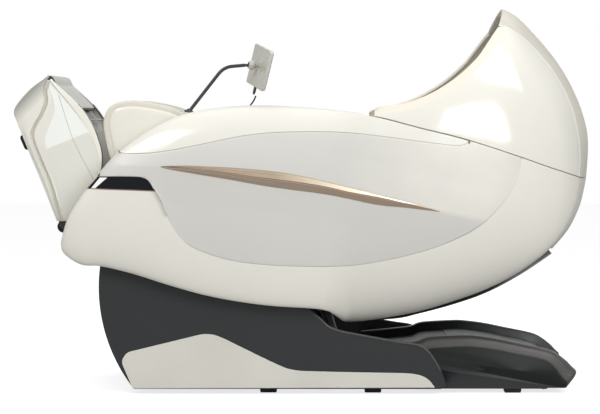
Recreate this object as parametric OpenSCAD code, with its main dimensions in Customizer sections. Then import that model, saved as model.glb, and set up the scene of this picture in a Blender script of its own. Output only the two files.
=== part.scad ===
// Reclining massage chair with a cocoon body, a hood over the head, a leg rest
// with a foot well, and a tablet on a bent arm. Millimetres, +Z up, +X towards
// the head, origin on the floor under the middle of the chair.

/* [Body] */
// Half of the overall width, at the widest line of the side shells
half_width = 402; // [396:1:420]
// Thickness of the moulded body panels
shell_wall = 5; // [3:0.5:6]
// Gap between neighbouring body panels
seam_gap = 3; // [2:0.5:6]
// Distance from the middle plane to the inner face of the armrests
seat_half = 262; // [258:1:268]
// Squareness of the body's cross-section
body_power = 2.4; // [2:0.1:3]

/* [Seat] */
// Length of the seat cushion
seat_length = 470; // [420:5:500]
// Width of the seat cushion
seat_width = 400; // [360:5:404]
// Thickness of the seat cushion
seat_thick = 88; // [60:1:100]
// Angle of the seat above the floor, thighs up
seat_angle = 32; // [30:1:34]

/* [Back] */
// Length of the back cushion
back_length = 760; // [700:5:800]
// Width of the back cushion
back_width = 500; // [440:5:512]
// Thickness of the back cushion
back_thick = 95; // [70:1:110]
// Angle of the back above the floor
back_angle = 27; // [26:1:28]

/* [Legs] */
// Half of the width of the calf and foot units
leg_half = 238; // [230:1:242]
// Radius of the heel rollers
heel_roller_r = 20; // [16:1:21]

/* [Base] */
// Half of the width of the base covers
base_half = 332; // [325:1:334]
// Radius of the front cover about the tilt axle
front_radius = 525; // [515:1:528]
// Wall of the base covers
cover_wall = 5; // [3:0.5:6]
// Height of the rubber feet
foot_height = 13; // [10:1:16]
// Radius of the tilt axle
axle_r = 20; // [16:1:22]
// Radius of the transport wheels
wheel_r = 24; // [20:1:26]

/* [Tablet] */
// Width of the tablet
tablet_w = 206; // [180:1:220]
// Height of the tablet
tablet_h = 130; // [115:1:140]
// Thickness of the tablet
tablet_t = 14; // [9:1:18]
// Diameter of the bent arm
arm_d = 11; // [8:0.5:14]
// Diameter of the tablet cable
cable_d = 5; // [4:0.5:6]

/* [Hidden] */
$fn = 48;

// Colours
cream = [0.93, 0.92, 0.87];
grey = [0.82, 0.82, 0.80];
black = [0.16, 0.17, 0.18];
steel = [0.45, 0.46, 0.48];
leather = [0.90, 0.87, 0.80];
bronze = [0.68, 0.56, 0.45];
dark = [0.08, 0.08, 0.09];

// Places, [x, z]
tilt_at = [-134, 340];
knee_at = [-520, 760];
hip_at = [60, 462];
leg_angle = 203.3;

// ---------------------------------------------------------------- curves
function cubic(a, b, c, d, t) =
    0.5 * (2 * b + (c - a) * t + (2 * a - 5 * b + 4 * c - d) * t * t
    + (3 * b - a - 3 * c + d) * t * t * t);
function spline(p, n = 6) = [
    for (i = [0 : len(p) - 2], k = [0 : n - 1])
        cubic(p[max(i - 1, 0)], p[i], p[i + 1], p[min(i + 2, len(p) - 1)], k / n),
    p[len(p) - 1]];
function bend(a, b, c, n = 5) = [
    for (k = [0 : n]) let (t = k / n) a * (1 - t) * (1 - t) + b * 2 * t * (1 - t) + c * t * t];
function toward(a, b, r) = a + (b - a) * min(r / norm(b - a), 0.49);
// Outline of points [x, z, corner radius]
function flat2(p) = [p[0], p[1]];
function rounded(p) = [
    for (i = [0 : len(p) - 1])
        let (n = len(p), b = flat2(p[i]), a = flat2(p[(i + n - 1) % n]), c = flat2(p[(i + 1) % n]))
        each (p[i][2] == 0 ? [b] : bend(toward(b, a, p[i][2]), b, toward(b, c, p[i][2])))];
function unit(v) = v / max(norm(v), 1e-9);
// A clockwise outline moved inwards
function inset(p, d) = [
    for (i = [0 : len(p) - 1])
        let (n = len(p), u = unit(p[(i + 1) % n] - p[i]), w = unit(p[i] - p[(i + n - 1) % n]),
             m = unit([(u + w)[1], -(u + w)[0]]), k = max(abs(m * [u[1], -u[0]]), 0.5))
        p[i] + m * d / k];
function spread(n) = [for (i = [0 : n]) i / n];
function ease(n) = [for (i = [0 : n]) (1 - cos(180 * i / n)) / 2];

// ---------------------------------------------------------------- sheets and pads
function cross_at(g, i, j) =
    let (n = len(g) - 1, m = len(g[0]) - 1)
    unit(cross(g[min(i + 1, n)][j] - g[max(i - 1, 0)][j], g[i][min(j + 1, m)] - g[i][max(j - 1, 0)]));
// A grid of points made into a sheet of even thickness; wall > 0 grows against the grid's normal
module sheet(g, wall) {
    n = len(g);
    m = len(g[0]);
    outer = [for (i = [0 : n - 1], j = [0 : m - 1]) g[i][j]];
    inner = [for (i = [0 : n - 1], j = [0 : m - 1]) g[i][j] - wall * cross_at(g, i, j)];
    k = n * m;
    faces = [
        for (i = [0 : n - 2], j = [0 : m - 2])
            let (a = i * m + j, b = a + 1, c = a + m, d = c + 1)
            each [[a, b, c], [b, d, c], [a + k, c + k, b + k], [b + k, c + k, d + k]],
        for (i = [0 : n - 2])
            let (a = i * m, c = a + m, b = a + m - 1, d = b + m)
            each [[a, c, a + k], [c, c + k, a + k], [b, b + k, d], [d, b + k, d + k]],
        for (j = [0 : m - 2])
            let (a = j, b = j + 1, c = (n - 1) * m + j, d = c + 1)
            each [[a, a + k, b], [b, a + k, b + k], [c, d, c + k], [d, d + k, c + k]]];
    polyhedron(concat(outer, inner), faces, convexity = 8);
}
// A padded form on a flat underside at Z 0: plan gives a point for each (a, b) from -1 to 1, top its height
function crown_of(a, p) = pow(1 - pow(min(abs(a), 1), p), 1 / p);
function rect_plan(l, w, draw = 0.012) = function(a, b)
    [l / 2 * a * (1 - draw * (1 - b * b)), w / 2 * b * (1 - draw * (1 - a * a))];
// Depth, 0 to 1, of sewn channels across a at the given places
function channel(a, at, wide = 0.09) = max([for (c = at) pow(max(0, 1 - abs(a - c) / wide), 2)]);
module pad(plan, top, nx = 14, ny = 12, edge = 7) {
    us = [for (i = [0 : nx]) -cos(180 * i / nx)];
    vs = [for (j = [0 : ny]) -cos(180 * j / ny)];
    function flat_at(a, b) = let (q = plan(a, b)) [q[0], q[1], 0];
    upper = [for (a = us, b = vs) flat_at(a, b) + [0, 0, top(a, b) * crown_of(a, edge) * crown_of(b, edge)]];
    lower = [for (i = [1 : nx - 1], j = [1 : ny - 1]) flat_at(us[i], vs[j])];
    k = len(upper);
    function up(i, j) = i * (ny + 1) + j;
    function low(i, j) = (i == 0 || j == 0 || i == nx || j == ny) ? up(i, j) : k + (i - 1) * (ny - 1) + j - 1;
    // The cells at two corners are cut the other way, so that no face lies on the one below it
    function cell(a, b, c, d, corner) = corner ? [[a, b, d], [a, d, c]] : [[a, b, c], [b, d, c]];
    faces = [
        for (i = [0 : nx - 1], j = [0 : ny - 1])
            let (corner = i + j == 0 || i + j == nx + ny - 2)
            each concat(cell(up(i, j), up(i, j + 1), up(i + 1, j), up(i + 1, j + 1), corner),
                cell(low(i, j), low(i + 1, j), low(i, j + 1), low(i + 1, j + 1), corner))];
    polyhedron(concat(upper, lower), faces, convexity = 4);
}
// Turns X along a line that rises at an angle in the XZ plane
module along(at, angle) {
    translate([at[0], 0, at[1]]) rotate([0, -angle, 0]) children();
}
// Extrudes an [x, z] outline between two distances along Y
module slab(p, y0, y1) {
    translate([0, y1, 0]) rotate([90, 0, 0]) linear_extrude(y1 - y0) polygon(p);
}
// A rod along Y at [x, z]
module pin(at, r, y0, y1) {
    translate([at[0], y0, at[1]]) rotate([-90, 0, 0]) cylinder(r = r, h = y1 - y0);
}
module both() {
    children();
    mirror([0, 1, 0]) children();
}

// ---------------------------------------------------------------- body skin
// Lines of the body in side view, [x, z]
arm_line = spline([[-776, 486], [-745, 585], [-660, 700], [-592, 774], [-494, 845],
    [-378, 897], [-207, 921], [-6, 917], [185, 897]]);
hood_top = spline([[186, 897], [214, 940], [257, 990], [314, 1050], [371, 1110], [429, 1168],
    [487, 1212], [560, 1240], [653, 1243], [704, 1213], [749, 1168], [797, 1114], [839, 1060],
    [881, 988], [917, 903]], 4);
crown_line = concat(arm_line, hood_top);
low_line = spline([[-776, 486], [-765, 452], [-712, 418], [-650, 412], [-551, 389], [-437, 353],
    [-323, 321], [-209, 299], [-98, 285], [16, 278], [70, 270], [105, 245], [125, 229], [165, 225],
    [261, 237], [370, 258], [477, 290], [584, 329], [691, 384], [788, 456], [843, 525], [879, 595],
    [890, 640]]);
wide_line = [[-776, 486], [-700, 570], [-500, 655], [-200, 690], [200, 705], [640, 705], [893, 690]];
seam_line = spline([[180, 897], [251, 883], [372, 851], [486, 823], [600, 788], [694, 757],
    [771, 730], [890, 692]]);
rim_line = spline([[214, 903], [257, 921], [314, 930], [371, 949], [429, 978], [487, 1018],
    [547, 1073], [577, 1112], [610, 1159], [627, 1181]], 3);
crease_line = spline([[627, 1181], [660, 1173], [707, 1140], [754, 1096], [800, 1041], [842, 974],
    [871, 904], [888, 828], [893, 764], [890, 694]], 2);
back_line = spline([[653, 1243], [673, 1234], [704, 1213], [749, 1168], [797, 1114], [841, 1056],
    [881, 988], [917, 903], [937, 810], [931, 686]], 2);
belly_line = spline([[130, 224], [292, 229], [373, 246], [482, 275], [590, 313], [698, 370],
    [806, 441]], 3);
belly_edge = spline([[130, 229], [261, 237], [370, 258], [477, 290], [584, 329], [691, 384],
    [788, 456]], 3);
tail_line = spline([[806, 441], [869, 513], [906, 585], [922, 640], [931, 682]], 3);
tail_edge = spline([[788, 456], [843, 525], [879, 595], [890, 640], [890, 690]], 3);
panel_top = spline([[-592, 773], [-520, 771], [-454, 777], [-388, 788], [-299, 806], [-206, 825],
    [-107, 837], [-6, 840], [105, 839], [226, 828], [347, 812], [468, 797], [505, 800], [527, 812]]);
panel_low = spline([[-469, 652], [-448, 615], [-429, 562], [-397, 511], [-357, 476], [-282, 446],
    [-206, 428], [-107, 418], [-6, 414], [143, 415], [256, 432], [342, 452], [427, 478], [512, 517],
    [569, 554], [614, 597], [654, 648], [679, 699], [691, 757]]);
badge_low = [[-690, 660], [-469, 652]];
badge_top = [[-690, 662], [-655, 699], [-514, 697], [-494, 688], [-469, 654]];
blade_top = spline([[-455, 731], [-357, 732], [-206, 724], [-56, 708], [105, 673], [226, 643],
    [348, 613], [430, 588]]);
blade_low = spline([[-455, 729], [-407, 718], [-256, 693], [-107, 667], [80, 641], [226, 611],
    [322, 601], [430, 587]]);

// Steps in from the overall width towards the nose, and distances from the middle plane, [x, y]
nose_in = spline([[-776, 38], [-768, 26], [-740, 14], [-680, 5], [-500, 0], [300, 0]]);
crown_y = spline([[-776, 363], [-640, 363], [-560, 338], [-480, 330], [185, 330], [257, 295],
    [371, 160], [429, 90], [500, 0], [893, 0]]);
low_y = spline([[-776, 363], [-600, 363], [0, 363], [70, 350], [130, 262], [200, 232], [700, 228],
    [788, 222], [843, 205], [879, 185], [890, 178]]);
tail_from = 300;
tail_to = 940;

function plan_half(x) = half_width - lookup(x, nose_in);
function width_at(x) = x < tail_from ? plan_half(x)
    : half_width * bow(min((x - tail_from) / (tail_to - tail_from), 0.99));
function bow(r) = pow(1 - pow(r, body_power), 1 / body_power);
function side_of(w, e, r) = e + (w - e) * bow(min(max(r, 0), 1));
function skin_y(x, z) =
    let (zw = lookup(x, wide_line), w = width_at(x))
    z >= zw
        ? side_of(w, min(lookup(x, crown_y), w - 1), (z - zw) / max(lookup(x, crown_line) - zw, 1))
        : side_of(w, min(lookup(x, low_y), w - 1), (zw - z) / max(zw - lookup(x, low_line), 1));
function on_skin(x, z) = [x, -skin_y(x, z), z];
// A band of the skin between two heights at each x, on the -Y side
function band(xs, low, high, ts) = [
    for (x = xs) let (a = low(x), b = high(x)) [for (t = ts) on_skin(x, a + (b - a) * t)]];
// A grid moved against its normals
function sunk(g, d) = [
    for (i = [0 : len(g) - 1]) [for (j = [0 : len(g[0]) - 1]) g[i][j] - d * cross_at(g, i, j)]];
// An arch across the middle between an edge at [x, y, z] and a middle line at [x, z]
function arch(edge, middle, ts, power) = [
    for (i = [0 : len(edge) - 1]) [
        for (t = ts)
            let (e = [edge[i][0], edge[i][2]], p = middle[i] + (e - middle[i]) * pow(abs(t), power))
            [p[0], -edge[i][1] * t, p[1]]]];
function edge_of(line, gap) = [for (p = line) [p[0], -skin_y(p[0], p[1]) + gap, p[1]]];
function low_edge(line, gap) = [for (p = line) [p[0], -lookup(p[0], low_y) + gap, p[1]]];
// Patch between four side lines, in side view: low and high run alike, and so do front and rear
function patch(low, high, front, rear) =
    let (n = len(low) - 1, m = len(front) - 1)
    [for (i = [0 : n]) [for (j = [0 : m])
        let (s = i / n, t = j / m,
             corners = (low[0] * (1 - t) + high[0] * t) * (1 - s) + (low[n] * (1 - t) + high[n] * t) * s,
             p = low[i] * (1 - t) + high[i] * t + front[j] * (1 - s) + rear[j] * s - corners)
        on_skin(p[0], p[1])]];
// A line resampled to n even steps of its length
function run(p, i = 0, s = 0) =
    i >= len(p) - 1 ? [s] : concat([s], run(p, i + 1, s + norm(p[i + 1] - p[i])));
function even(p, n) =
    let (r = run(p), total = r[len(r) - 1],
         xs = [for (i = [0 : len(p) - 1]) [r[i], p[i][0]]],
         zs = [for (i = [0 : len(p) - 1]) [r[i], p[i][1]]])
    [for (k = [0 : n]) [lookup(total * k / n, xs), lookup(total * k / n, zs)]];
function part_of(p, a, b) = [for (q = p) if (q[0] >= a && q[0] <= b) q];

// ---------------------------------------------------------------- base
rail_y = 250;
rail_w = 40;
rail_h = 45;
rail_wall = 5;
rail_x = [-480, 780];
rail_top = foot_height + rail_h;
bar_x = [-480, -300, 50, 340, 700];
base_floor = foot_height + 4;
upright_y = [272, 288];
foot_x = [-117, 219, 669];
foot_len = 56;
cover_y = base_half - cover_wall;
trim_proud = 6;
fit = 0.05;
close = 0.4;
deck_half = 300;
valley_half = 236;
valley_deep = 30;
lid_thick = 3;
wheel_at = [775, wheel_r + 3];
wheel_y = [200, 225];
wheel_axle_r = 6;
act_y = 110;
act_foot = [68, 88];
act_head = [-22, 355];
act_r = 12;
act_eye = 6;
act_angle = atan2(act_head[1] - act_foot[1], act_head[0] - act_foot[0]);
act_len = norm(act_head - act_foot);
front_top = 385;
panel_x = [638, 752];
panel_z = [55, 125];
rocker_at = [670, 294, 90];
rocker_w = 26;
rocker_half = 12;
rocker_pin_r = 2;

function on_arc(a, r) = tilt_at + r * [-cos(a), sin(a)];
front_arc = [for (i = [0 : 8]) on_arc(-38 + i * 45.9 / 8, front_radius)];
cover_outline = concat(front_arc, [[-560, 425], [-400, 440], [-134, 450], [-40, 375], [16, 272],
    [51, 245], [76, 221], [112, 206], [171, 194], [254, 179], [312, 169], [360, 162], [385, 150],
    [408, 126], [433, 84], [449, 42], [451, 28], [436, base_floor]]);
trim_outline = rounded([[-551, 19, 4], [-588, 106, 16], [-570, 134, 14], [-325, 194, 14], [-285, 192, 40],
    [-98, 100, 60], [-41, 76, 40], [112, 72, 40], [348, 68, 40], [392, 54, 30], [417, 22, 5]]);
deck_top = spline([[190, 145], [300, 155], [362, 163], [400, 176], [493, 182], [541, 182], [614, 173],
    [688, 158], [762, 143], [803, 130], [840, 104], [861, 83], [876, 66], [864, 44], [842, base_floor]], 3);
// The deck's top line moved down, and forward where it turns down at the rear
function deck_in(d) = concat([[d > 0 ? 100 : 190, 145 - d]],
    [for (p = deck_top) [p[0] - d * min(max((p[0] - 760) / 90, 0), 1), p[1] - d]],
    [[836 - d, -100], [d > 0 ? 100 : 190, -100]]);

module above_floor() {
    intersection() {
        children();
        translate([-1000, -500, base_floor]) cube([2000, 1000, 600]);
    }
}

module base_frame() color(black) {
    both() {
        difference() {
            translate([rail_x[0], rail_y, foot_height]) cube([rail_x[1] - rail_x[0], rail_w, rail_h]);
            translate([rail_x[0] + rail_wall, rail_y + rail_wall, foot_height - 1])
                cube([rail_x[1] - rail_x[0] - 2 * rail_wall, rail_w - 2 * rail_wall, rail_h - rail_wall + 1]);
        }
        difference() {
            union() {
                slab([[-300, rail_top - 1], [30, rail_top - 1], [-90, 350], [-178, 350]],
                    upright_y[0], upright_y[1]);
                pin(tilt_at, axle_r + 26, upright_y[0], upright_y[1]);
            }
            pin(tilt_at, axle_r + fit, upright_y[0] - 1, upright_y[1] + 1);
        }
        for (x = [-430, 110])
            translate([x, rail_y + rail_w - 1, foot_height + 8])
                cube([60, cover_y - rail_y - rail_w + 1 - close, 30]);
        difference() {
            for (y = [wheel_y[0] - 12, wheel_y[1] + 4])
                translate([bar_x[4] + rail_w - 1, y, foot_height]) cube([50, 8, 36]);
            pin(wheel_at, wheel_axle_r + fit, wheel_y[0] - 20, wheel_y[1] + 20);
        }
        translate([rail_x[1] - 40, rail_y + rail_w - 1, foot_height + 8])
            cube([30, deck_half - cover_wall - rail_y - rail_w + 1 - close, 30]);
    }
    for (x = bar_x) difference() {
        translate([x, -rail_y - 1, foot_height]) cube([rail_w, 2 * rail_y + 2, rail_h]);
        translate([x + rail_wall, -rail_y + rail_wall, foot_height - 1])
            cube([rail_w - 2 * rail_wall, 2 * rail_y - 2 * rail_wall, rail_h - rail_wall + 1]);
    }
    difference() {
        for (y = [act_y - 36, act_y + 26]) hull() {
            translate([act_foot[0] - 18, y, rail_top - 1]) cube([36, 10, 2]);
            pin(act_foot, 14, y, y + 10, $fn = 32);
        }
        pin(act_foot, 8 + fit, act_y - 50, act_y + 50);
    }
}
module base_front_cover() color(black) intersection() {
    difference() {
        pin(tilt_at, front_radius, -cover_y + close, cover_y - close, $fn = 160);
        pin(tilt_at, front_radius - cover_wall, -cover_y, cover_y, $fn = 160);
    }
    translate([-800, -cover_y, base_floor]) cube([260, 2 * cover_y, front_top - base_floor]);
}
module base_side_covers() color(black) both() slab(cover_outline, cover_y, base_half);
module base_trims() color(cream) both() slab(trim_outline, base_half, base_half + trim_proud);
module base_deck_cover() color(black) above_floor() difference() {
    slab(deck_in(0), -deck_half, deck_half);
    difference() {
        translate([100, -valley_half, 0]) cube([900, 2 * valley_half, 300]);
        slab(deck_in(valley_deep), -valley_half - 1, valley_half + 1);
    }
    slab(deck_in(valley_deep + cover_wall), -valley_half - cover_wall, valley_half + cover_wall);
    both() slab(deck_in(cover_wall), valley_half + cover_wall - 1, deck_half - cover_wall);
    translate([panel_x[0] + 7, deck_half - 10, panel_z[0] + 7])
        cube([panel_x[1] - panel_x[0] - 14, 20, panel_z[1] - panel_z[0] - 14]);
}
module deck_lid() color(black) intersection() {
    difference() {
        slab(deck_in(valley_deep - lid_thick), -valley_half + 22, valley_half - 22);
        slab(deck_in(valley_deep), -valley_half, valley_half);
    }
    translate([465, -300, 60]) cube([330, 600, 200]);
}
module base_feet() color(dark) both() for (x = foot_x)
    translate([x - foot_len / 2, rail_y, 0]) cube([foot_len, rail_w, foot_height]);
module transport_wheels() color(dark) both() difference() {
    union() {
        pin(wheel_at, wheel_r, wheel_y[0] + 3, wheel_y[1] - 3);
        pin(wheel_at, wheel_r - 8, wheel_y[0], wheel_y[1]);
    }
    pin(wheel_at, wheel_axle_r + fit, wheel_y[0] - 1, wheel_y[1] + 1);
}
module wheel_axle() color(steel) both() pin(wheel_at, wheel_axle_r, wheel_y[0] - 16, wheel_y[1] + 16);
module power_panel() color(dark) difference() {
    union() {
        translate([panel_x[0], deck_half, panel_z[0]])
            cube([panel_x[1] - panel_x[0], 4, panel_z[1] - panel_z[0]]);
        translate([panel_x[0] + 8, deck_half - 30, panel_z[0] + 8])
            cube([panel_x[1] - panel_x[0] - 16, 31, panel_z[1] - panel_z[0] - 16]);
    }
    translate([rocker_at[0] - rocker_w / 2 - 0.5, deck_half - 22, rocker_at[2] - rocker_half - 2.5])
        cube([rocker_w + 1, 40, 2 * rocker_half + 5]);
    translate([rocker_at[0] - rocker_w / 2 - 4, rocker_at[1], rocker_at[2]])
        rotate([0, 90, 0]) cylinder(r = rocker_pin_r + fit, h = rocker_w + 8);
    difference() {
        translate([700, deck_half - 18, 77]) cube([34, 40, 26]);
        for (p = [[709, 86], [717, 94], [725, 86]])
            translate([p[0] - 1, deck_half - 19, p[1] - 2]) cube([2, 14, 4]);
    }
}
module power_switch() color(dark) {
    translate([rocker_at[0] - rocker_w / 2, 0, 0]) rotate([90, 0, 90]) linear_extrude(rocker_w)
        polygon([for (p = [[-8, -rocker_half], [10, -rocker_half], [6.5, 0], [7.5, rocker_half],
            [-8, rocker_half]]) [rocker_at[1] + p[0], rocker_at[2] + p[1]]]);
    translate([rocker_at[0] - rocker_w / 2 - 3, rocker_at[1], rocker_at[2]])
        rotate([0, 90, 0]) cylinder(r = rocker_pin_r, h = rocker_w + 6);
}
module control_box() color(steel) {
    translate([bar_x[2] + 8, -230, rail_top]) cube([bar_x[3] - bar_x[2] + 20, 170, 40]);
    for (i = [0 : 5])
        translate([bar_x[2] + 30 + i * 44, -210, rail_top + 40]) cube([20, 130, 5]);
}
module air_pump() color(dark) {
    translate([bar_x[0] + 6, -150, rail_top]) cube([bar_x[1] - bar_x[0] + 20, 120, 80]);
    translate([bar_x[0] + 40, -90, rail_top + 80]) cylinder(r = 30, h = 18);
    for (y = [-120, -60]) translate([bar_x[1] - 10, y, rail_top + 80]) cylinder(r = 6, h = 16);
}
module tilt_motor() color(dark) along(act_foot, act_angle) difference() {
    union() {
        translate([-14, act_y - 25, -14]) cube([28, 50, 28]);
        translate([10, act_y, 0]) rotate([0, 90, 0]) cylinder(r = 20, h = 170);
        translate([30, act_y, -40]) rotate([0, 90, 0]) cylinder(r = 22, h = 110);
        translate([24, act_y - 18, -56]) cube([12, 36, 58]);
        translate([0, act_y - 43, 0]) rotate([-90, 0, 0]) cylinder(r = 8, h = 86);
    }
    translate([20, act_y, 0]) rotate([0, 90, 0]) cylinder(r = act_r + fit, h = 200);
}
module tilt_rod() color(steel) along(act_foot, act_angle) difference() {
    union() {
        translate([24, act_y, 0]) rotate([0, 90, 0]) cylinder(r = act_r, h = act_len - 40);
        translate([act_len, act_y - 10, 0]) rotate([-90, 0, 0]) cylinder(r = act_r + act_eye + 8, h = 20);
    }
    translate([act_len, act_y - 11, 0]) rotate([-90, 0, 0]) cylinder(r = act_r + act_eye, h = 22);
}

// ---------------------------------------------------------------- seat body
plate_y = [244, 252];
liner_t = 5.4;
seat_at = [-12, 440];
pan_t = 8;
knee_pin_r = 12;
hip_pin_r = 10;
slot_r = [front_radius - cover_wall - 9, front_radius + 9];
half_gap = seam_gap / 2;
thin_gap = 0.8;

module on_seat() along(seat_at, 180 - seat_angle) mirror([0, 0, 1]) children();
module on_back() along(hip_at, back_angle) children();
module on_leg() along(knee_at, leg_angle) mirror([0, 0, 1]) children();

function low_of(x) = lookup(x, low_line);
function arm_of(x) = lookup(x, arm_line);
function seam_of(x) = lookup(x, seam_line);
function shell_top(x) = x < -690 ? arm_of(x) : x < -469 ? lookup(x, badge_low)
    : x < 691 ? lookup(x, panel_low) : seam_of(x) - half_gap;
function fold_at(x) = x < -660 ? 2 : 5;
function panel_bottom(x) = x < -469 ? lookup(x, badge_top) + thin_gap : lookup(x, panel_low) + thin_gap;
function panel_high(x) = x < -592 ? arm_of(x) : x < 527 ? lookup(x, panel_joint) : seam_of(x) - half_gap;
function arm_low(x) = lookup(x, panel_joint) + (x < -540 ? 4 : 1) * thin_gap;
function arm_high(x) = x < 182 ? arm_of(x) : seam_of(x) - half_gap;
// Flanges turned in along the first and the last point of each row
function fold_first(g, d) = [for (i = [0 : len(g) - 1]) concat([g[i][0] - d * cross_at(g, i, 0)], g[i])];
function fold_last(g, d) = let (m = len(g[0]) - 1) [
    for (i = [0 : len(g) - 1]) concat(g[i], [g[i][m] - d * cross_at(g, i, m)])];
function fold_both(g) = let (m = len(g[0]) - 1) [
    for (i = [0 : len(g) - 1]) let (d = fold_at(g[i][0][0]))
        concat([g[i][0] - d * cross_at(g, i, 0)], g[i], [g[i][m] - d * cross_at(g, i, m)])];

shell_xs = [-773, -768, -758, -740, -716, -690, -640, -580, -520, -470, -458, -448, -438, -429, -413,
    -397, -377, -357, -320, -282, -206, -107, -6, 70, 88, 105, 128, 150, 200, 260, 342, 427, 512,
    569, 614, 640, 654, 668, 679, 692, 730, 770, 805, 835, 860, 878, 890];
panel_xs = [-648, -615, -592, -555, -514, -494, -480, -469, -458, -448, -438, -429, -413, -397, -377,
    -357, -320, -282, -206, -107, -6, 120, 240, 342, 427, 512, 569, 614, 640, 654, 668, 679, 688];
panel_joint = [for (x = panel_xs) if (x > -600 && x < 560) [x, lookup(x, panel_top)]];
arm_xs = [-588, -555, -514, -469, -413, -357, -282, -206, -107, -6, 60, 120, 172, 200, 240, 290, 342,
    390, 427, 470, 500, 512];
blade_xs = [-452, -420, -380, -320, -250, -150, -50, 60, 160, 250, 330, 390, 426];

module side_shell_left() color(cream)
    sheet(fold_both(band(shell_xs, function(x) low_of(x), function(x) shell_top(x), ease(6))), shell_wall);
module side_shell_right() mirror([0, 1, 0]) side_shell_left();
module side_panel_left() color(grey)
    sheet(fold_last(fold_first(band(panel_xs, function(x) panel_bottom(x), function(x) panel_high(x),
        spread(4)), 5), 5), shell_wall - 1);
module side_panel_right() mirror([0, 1, 0]) side_panel_left();
inner_y = seat_half + liner_t + 0.5;
function arm_lip(x, e) = x < 182
    ? [for (q = [[-300, 2], [-inner_y - 6, -3], [-inner_y, -12], [-inner_y, -30]]) [x, q[0], e[2] + q[1]]]
    : [for (k = [1 : 4]) e + [0, 3 * k, -k * k / 2]];
module armrest_cover_left() color(cream)
    let (g = band(arm_xs, function(x) arm_low(x), function(x) arm_high(x), ease(6)))
    sheet([for (r = fold_first(g, 5)) concat(r, arm_lip(r[1][0], r[len(r) - 1]))], shell_wall);
module armrest_cover_right() mirror([0, 1, 0]) armrest_cover_left();
module accent_blades() color(bronze) both() mirror([0, 1, 0])
    sheet(sunk(band(blade_xs, function(x) lookup(x, blade_low), function(x) lookup(x, blade_top),
        spread(3)), -2.3), 2);
badge_xs = [-685, -672, -655, -600, -550, -514, -494, -484, -475];
module badge_plates() color(dark) both() mirror([0, 1, 0])
    sheet(fold_last(band(badge_xs, function(x) lookup(x, badge_low) + 3.6,
        function(x) lookup(x, badge_top) - close, spread(3)), 4), shell_wall);
module badge_frames() color(bronze) both() mirror([0, 1, 0])
    sheet(sunk(band(badge_xs, function(x) lookup(x, badge_low) + 0.9,
        function(x) lookup(x, badge_low) + 2.2, spread(1)), -0.6), 2);

nose_path = concat([for (i = [len(low_line) - 1 : -1 : 0]) if (low_line[i][0] < -672) low_line[i]],
    [for (p = arm_line) if (p[0] > -776 && p[0] < -592) p]);
function thinned(p) = [for (i = [0 : 2 : len(p) - 1]) p[i]];
liner_outline = concat(part_of(arm_line, -775, 100), [[104, 800], [118, 640], [196, 470],
    [60, 380], [-134, 300], [-330, 340], [-560, 405], [-660, 425]],
    [for (i = [len(low_line) - 1 : -1 : 0]) if (low_line[i][0] < -680) low_line[i]]);
module shell_liners() color(cream) both() {
    difference() {
        slab(inset(liner_outline, 3), seat_half, seat_half + liner_t);
        pin(tilt_at, axle_r + 6, seat_half - 1, seat_half + liner_t + 1);
        intersection() {
            difference() {
                pin(tilt_at, slot_r[1], seat_half - 1, seat_half + liner_t + 1, $fn = 160);
                pin(tilt_at, slot_r[0], seat_half - 2, seat_half + liner_t + 2, $fn = 160);
            }
            slab([tilt_at, on_arc(-10, 800), on_arc(39, 900)], seat_half - 3, seat_half + liner_t + 3);
        }
    }
}
module nose_caps() color(cream) both() mirror([0, 1, 0])
    sheet([for (p = thinned(nose_path))
        [for (y = [-lookup(p[0], crown_y) + 5 * thin_gap, -330, -300, -inner_y]) [p[0], y, p[1]]]],
        shell_wall);

plate_outline = rounded([[-556, 750, 20], [-550, 792, 20], [-500, 797, 20], [-430, 690, 30], [-150, 472, 30],
    [30, 492, 20], [92, 490, 25], [95, 436, 25], [0, 352, 20], [-90, 290, 30], [-176, 290, 30],
    [-330, 440, 30], [-505, 690, 30]]);
module seat_frame() color(steel) {
    both() difference() {
        union() {
            slab(plate_outline, plate_y[0], plate_y[1]);
            for (p = [[-400, 612], [-60, 400], [50, 462]]) pin(p, 9, plate_y[1] - 1, seat_half);
        }
        pin(tilt_at, axle_r + fit, plate_y[0] - 1, plate_y[1] + 1);
    }
    both() {
        pin(knee_at, knee_pin_r, 208, plate_y[1] + 4);
        pin(hip_at, hip_pin_r, 226, plate_y[1] + 4);
    }
    pin(act_head, act_r, -plate_y[0] - 1, plate_y[0] + 1);
    for (p = [[-300, 478], [-385, 540]]) pin(p, 12, -plate_y[0] - 1, plate_y[0] + 1);
}
module tilt_axle() color(steel) pin(tilt_at, axle_r, -upright_y[1] - 4, upright_y[1] + 4);
module seat_pan() color(dark) on_seat()
    translate([4, -plate_y[0] + close, -seat_thick - pan_t])
        cube([seat_length - 8, 2 * (plate_y[0] - close), pan_t]);
module seat_cushion() color(leather) on_seat() translate([seat_length / 2, 0, 0.3 - seat_thick])
    pad(rect_plan(seat_length, seat_width + 80), function(a, b)
        seat_thick * (0.93 + 0.07 * (1 - b * b)) - 7 * channel(a, [-0.34, 0.34]) + 8 * max(0, abs(b) - 0.6),
        18, 14);
module arm_pads() color(leather) both() mirror([0, 1, 0])
    translate([-95, -seat_half + 0.3, 742]) rotate([-90, 0, 0])
        pad(rect_plan(450, 150), function(a, b) 22 - 4 * channel(a, [-0.33, 0.33]), 12, 6);

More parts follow.
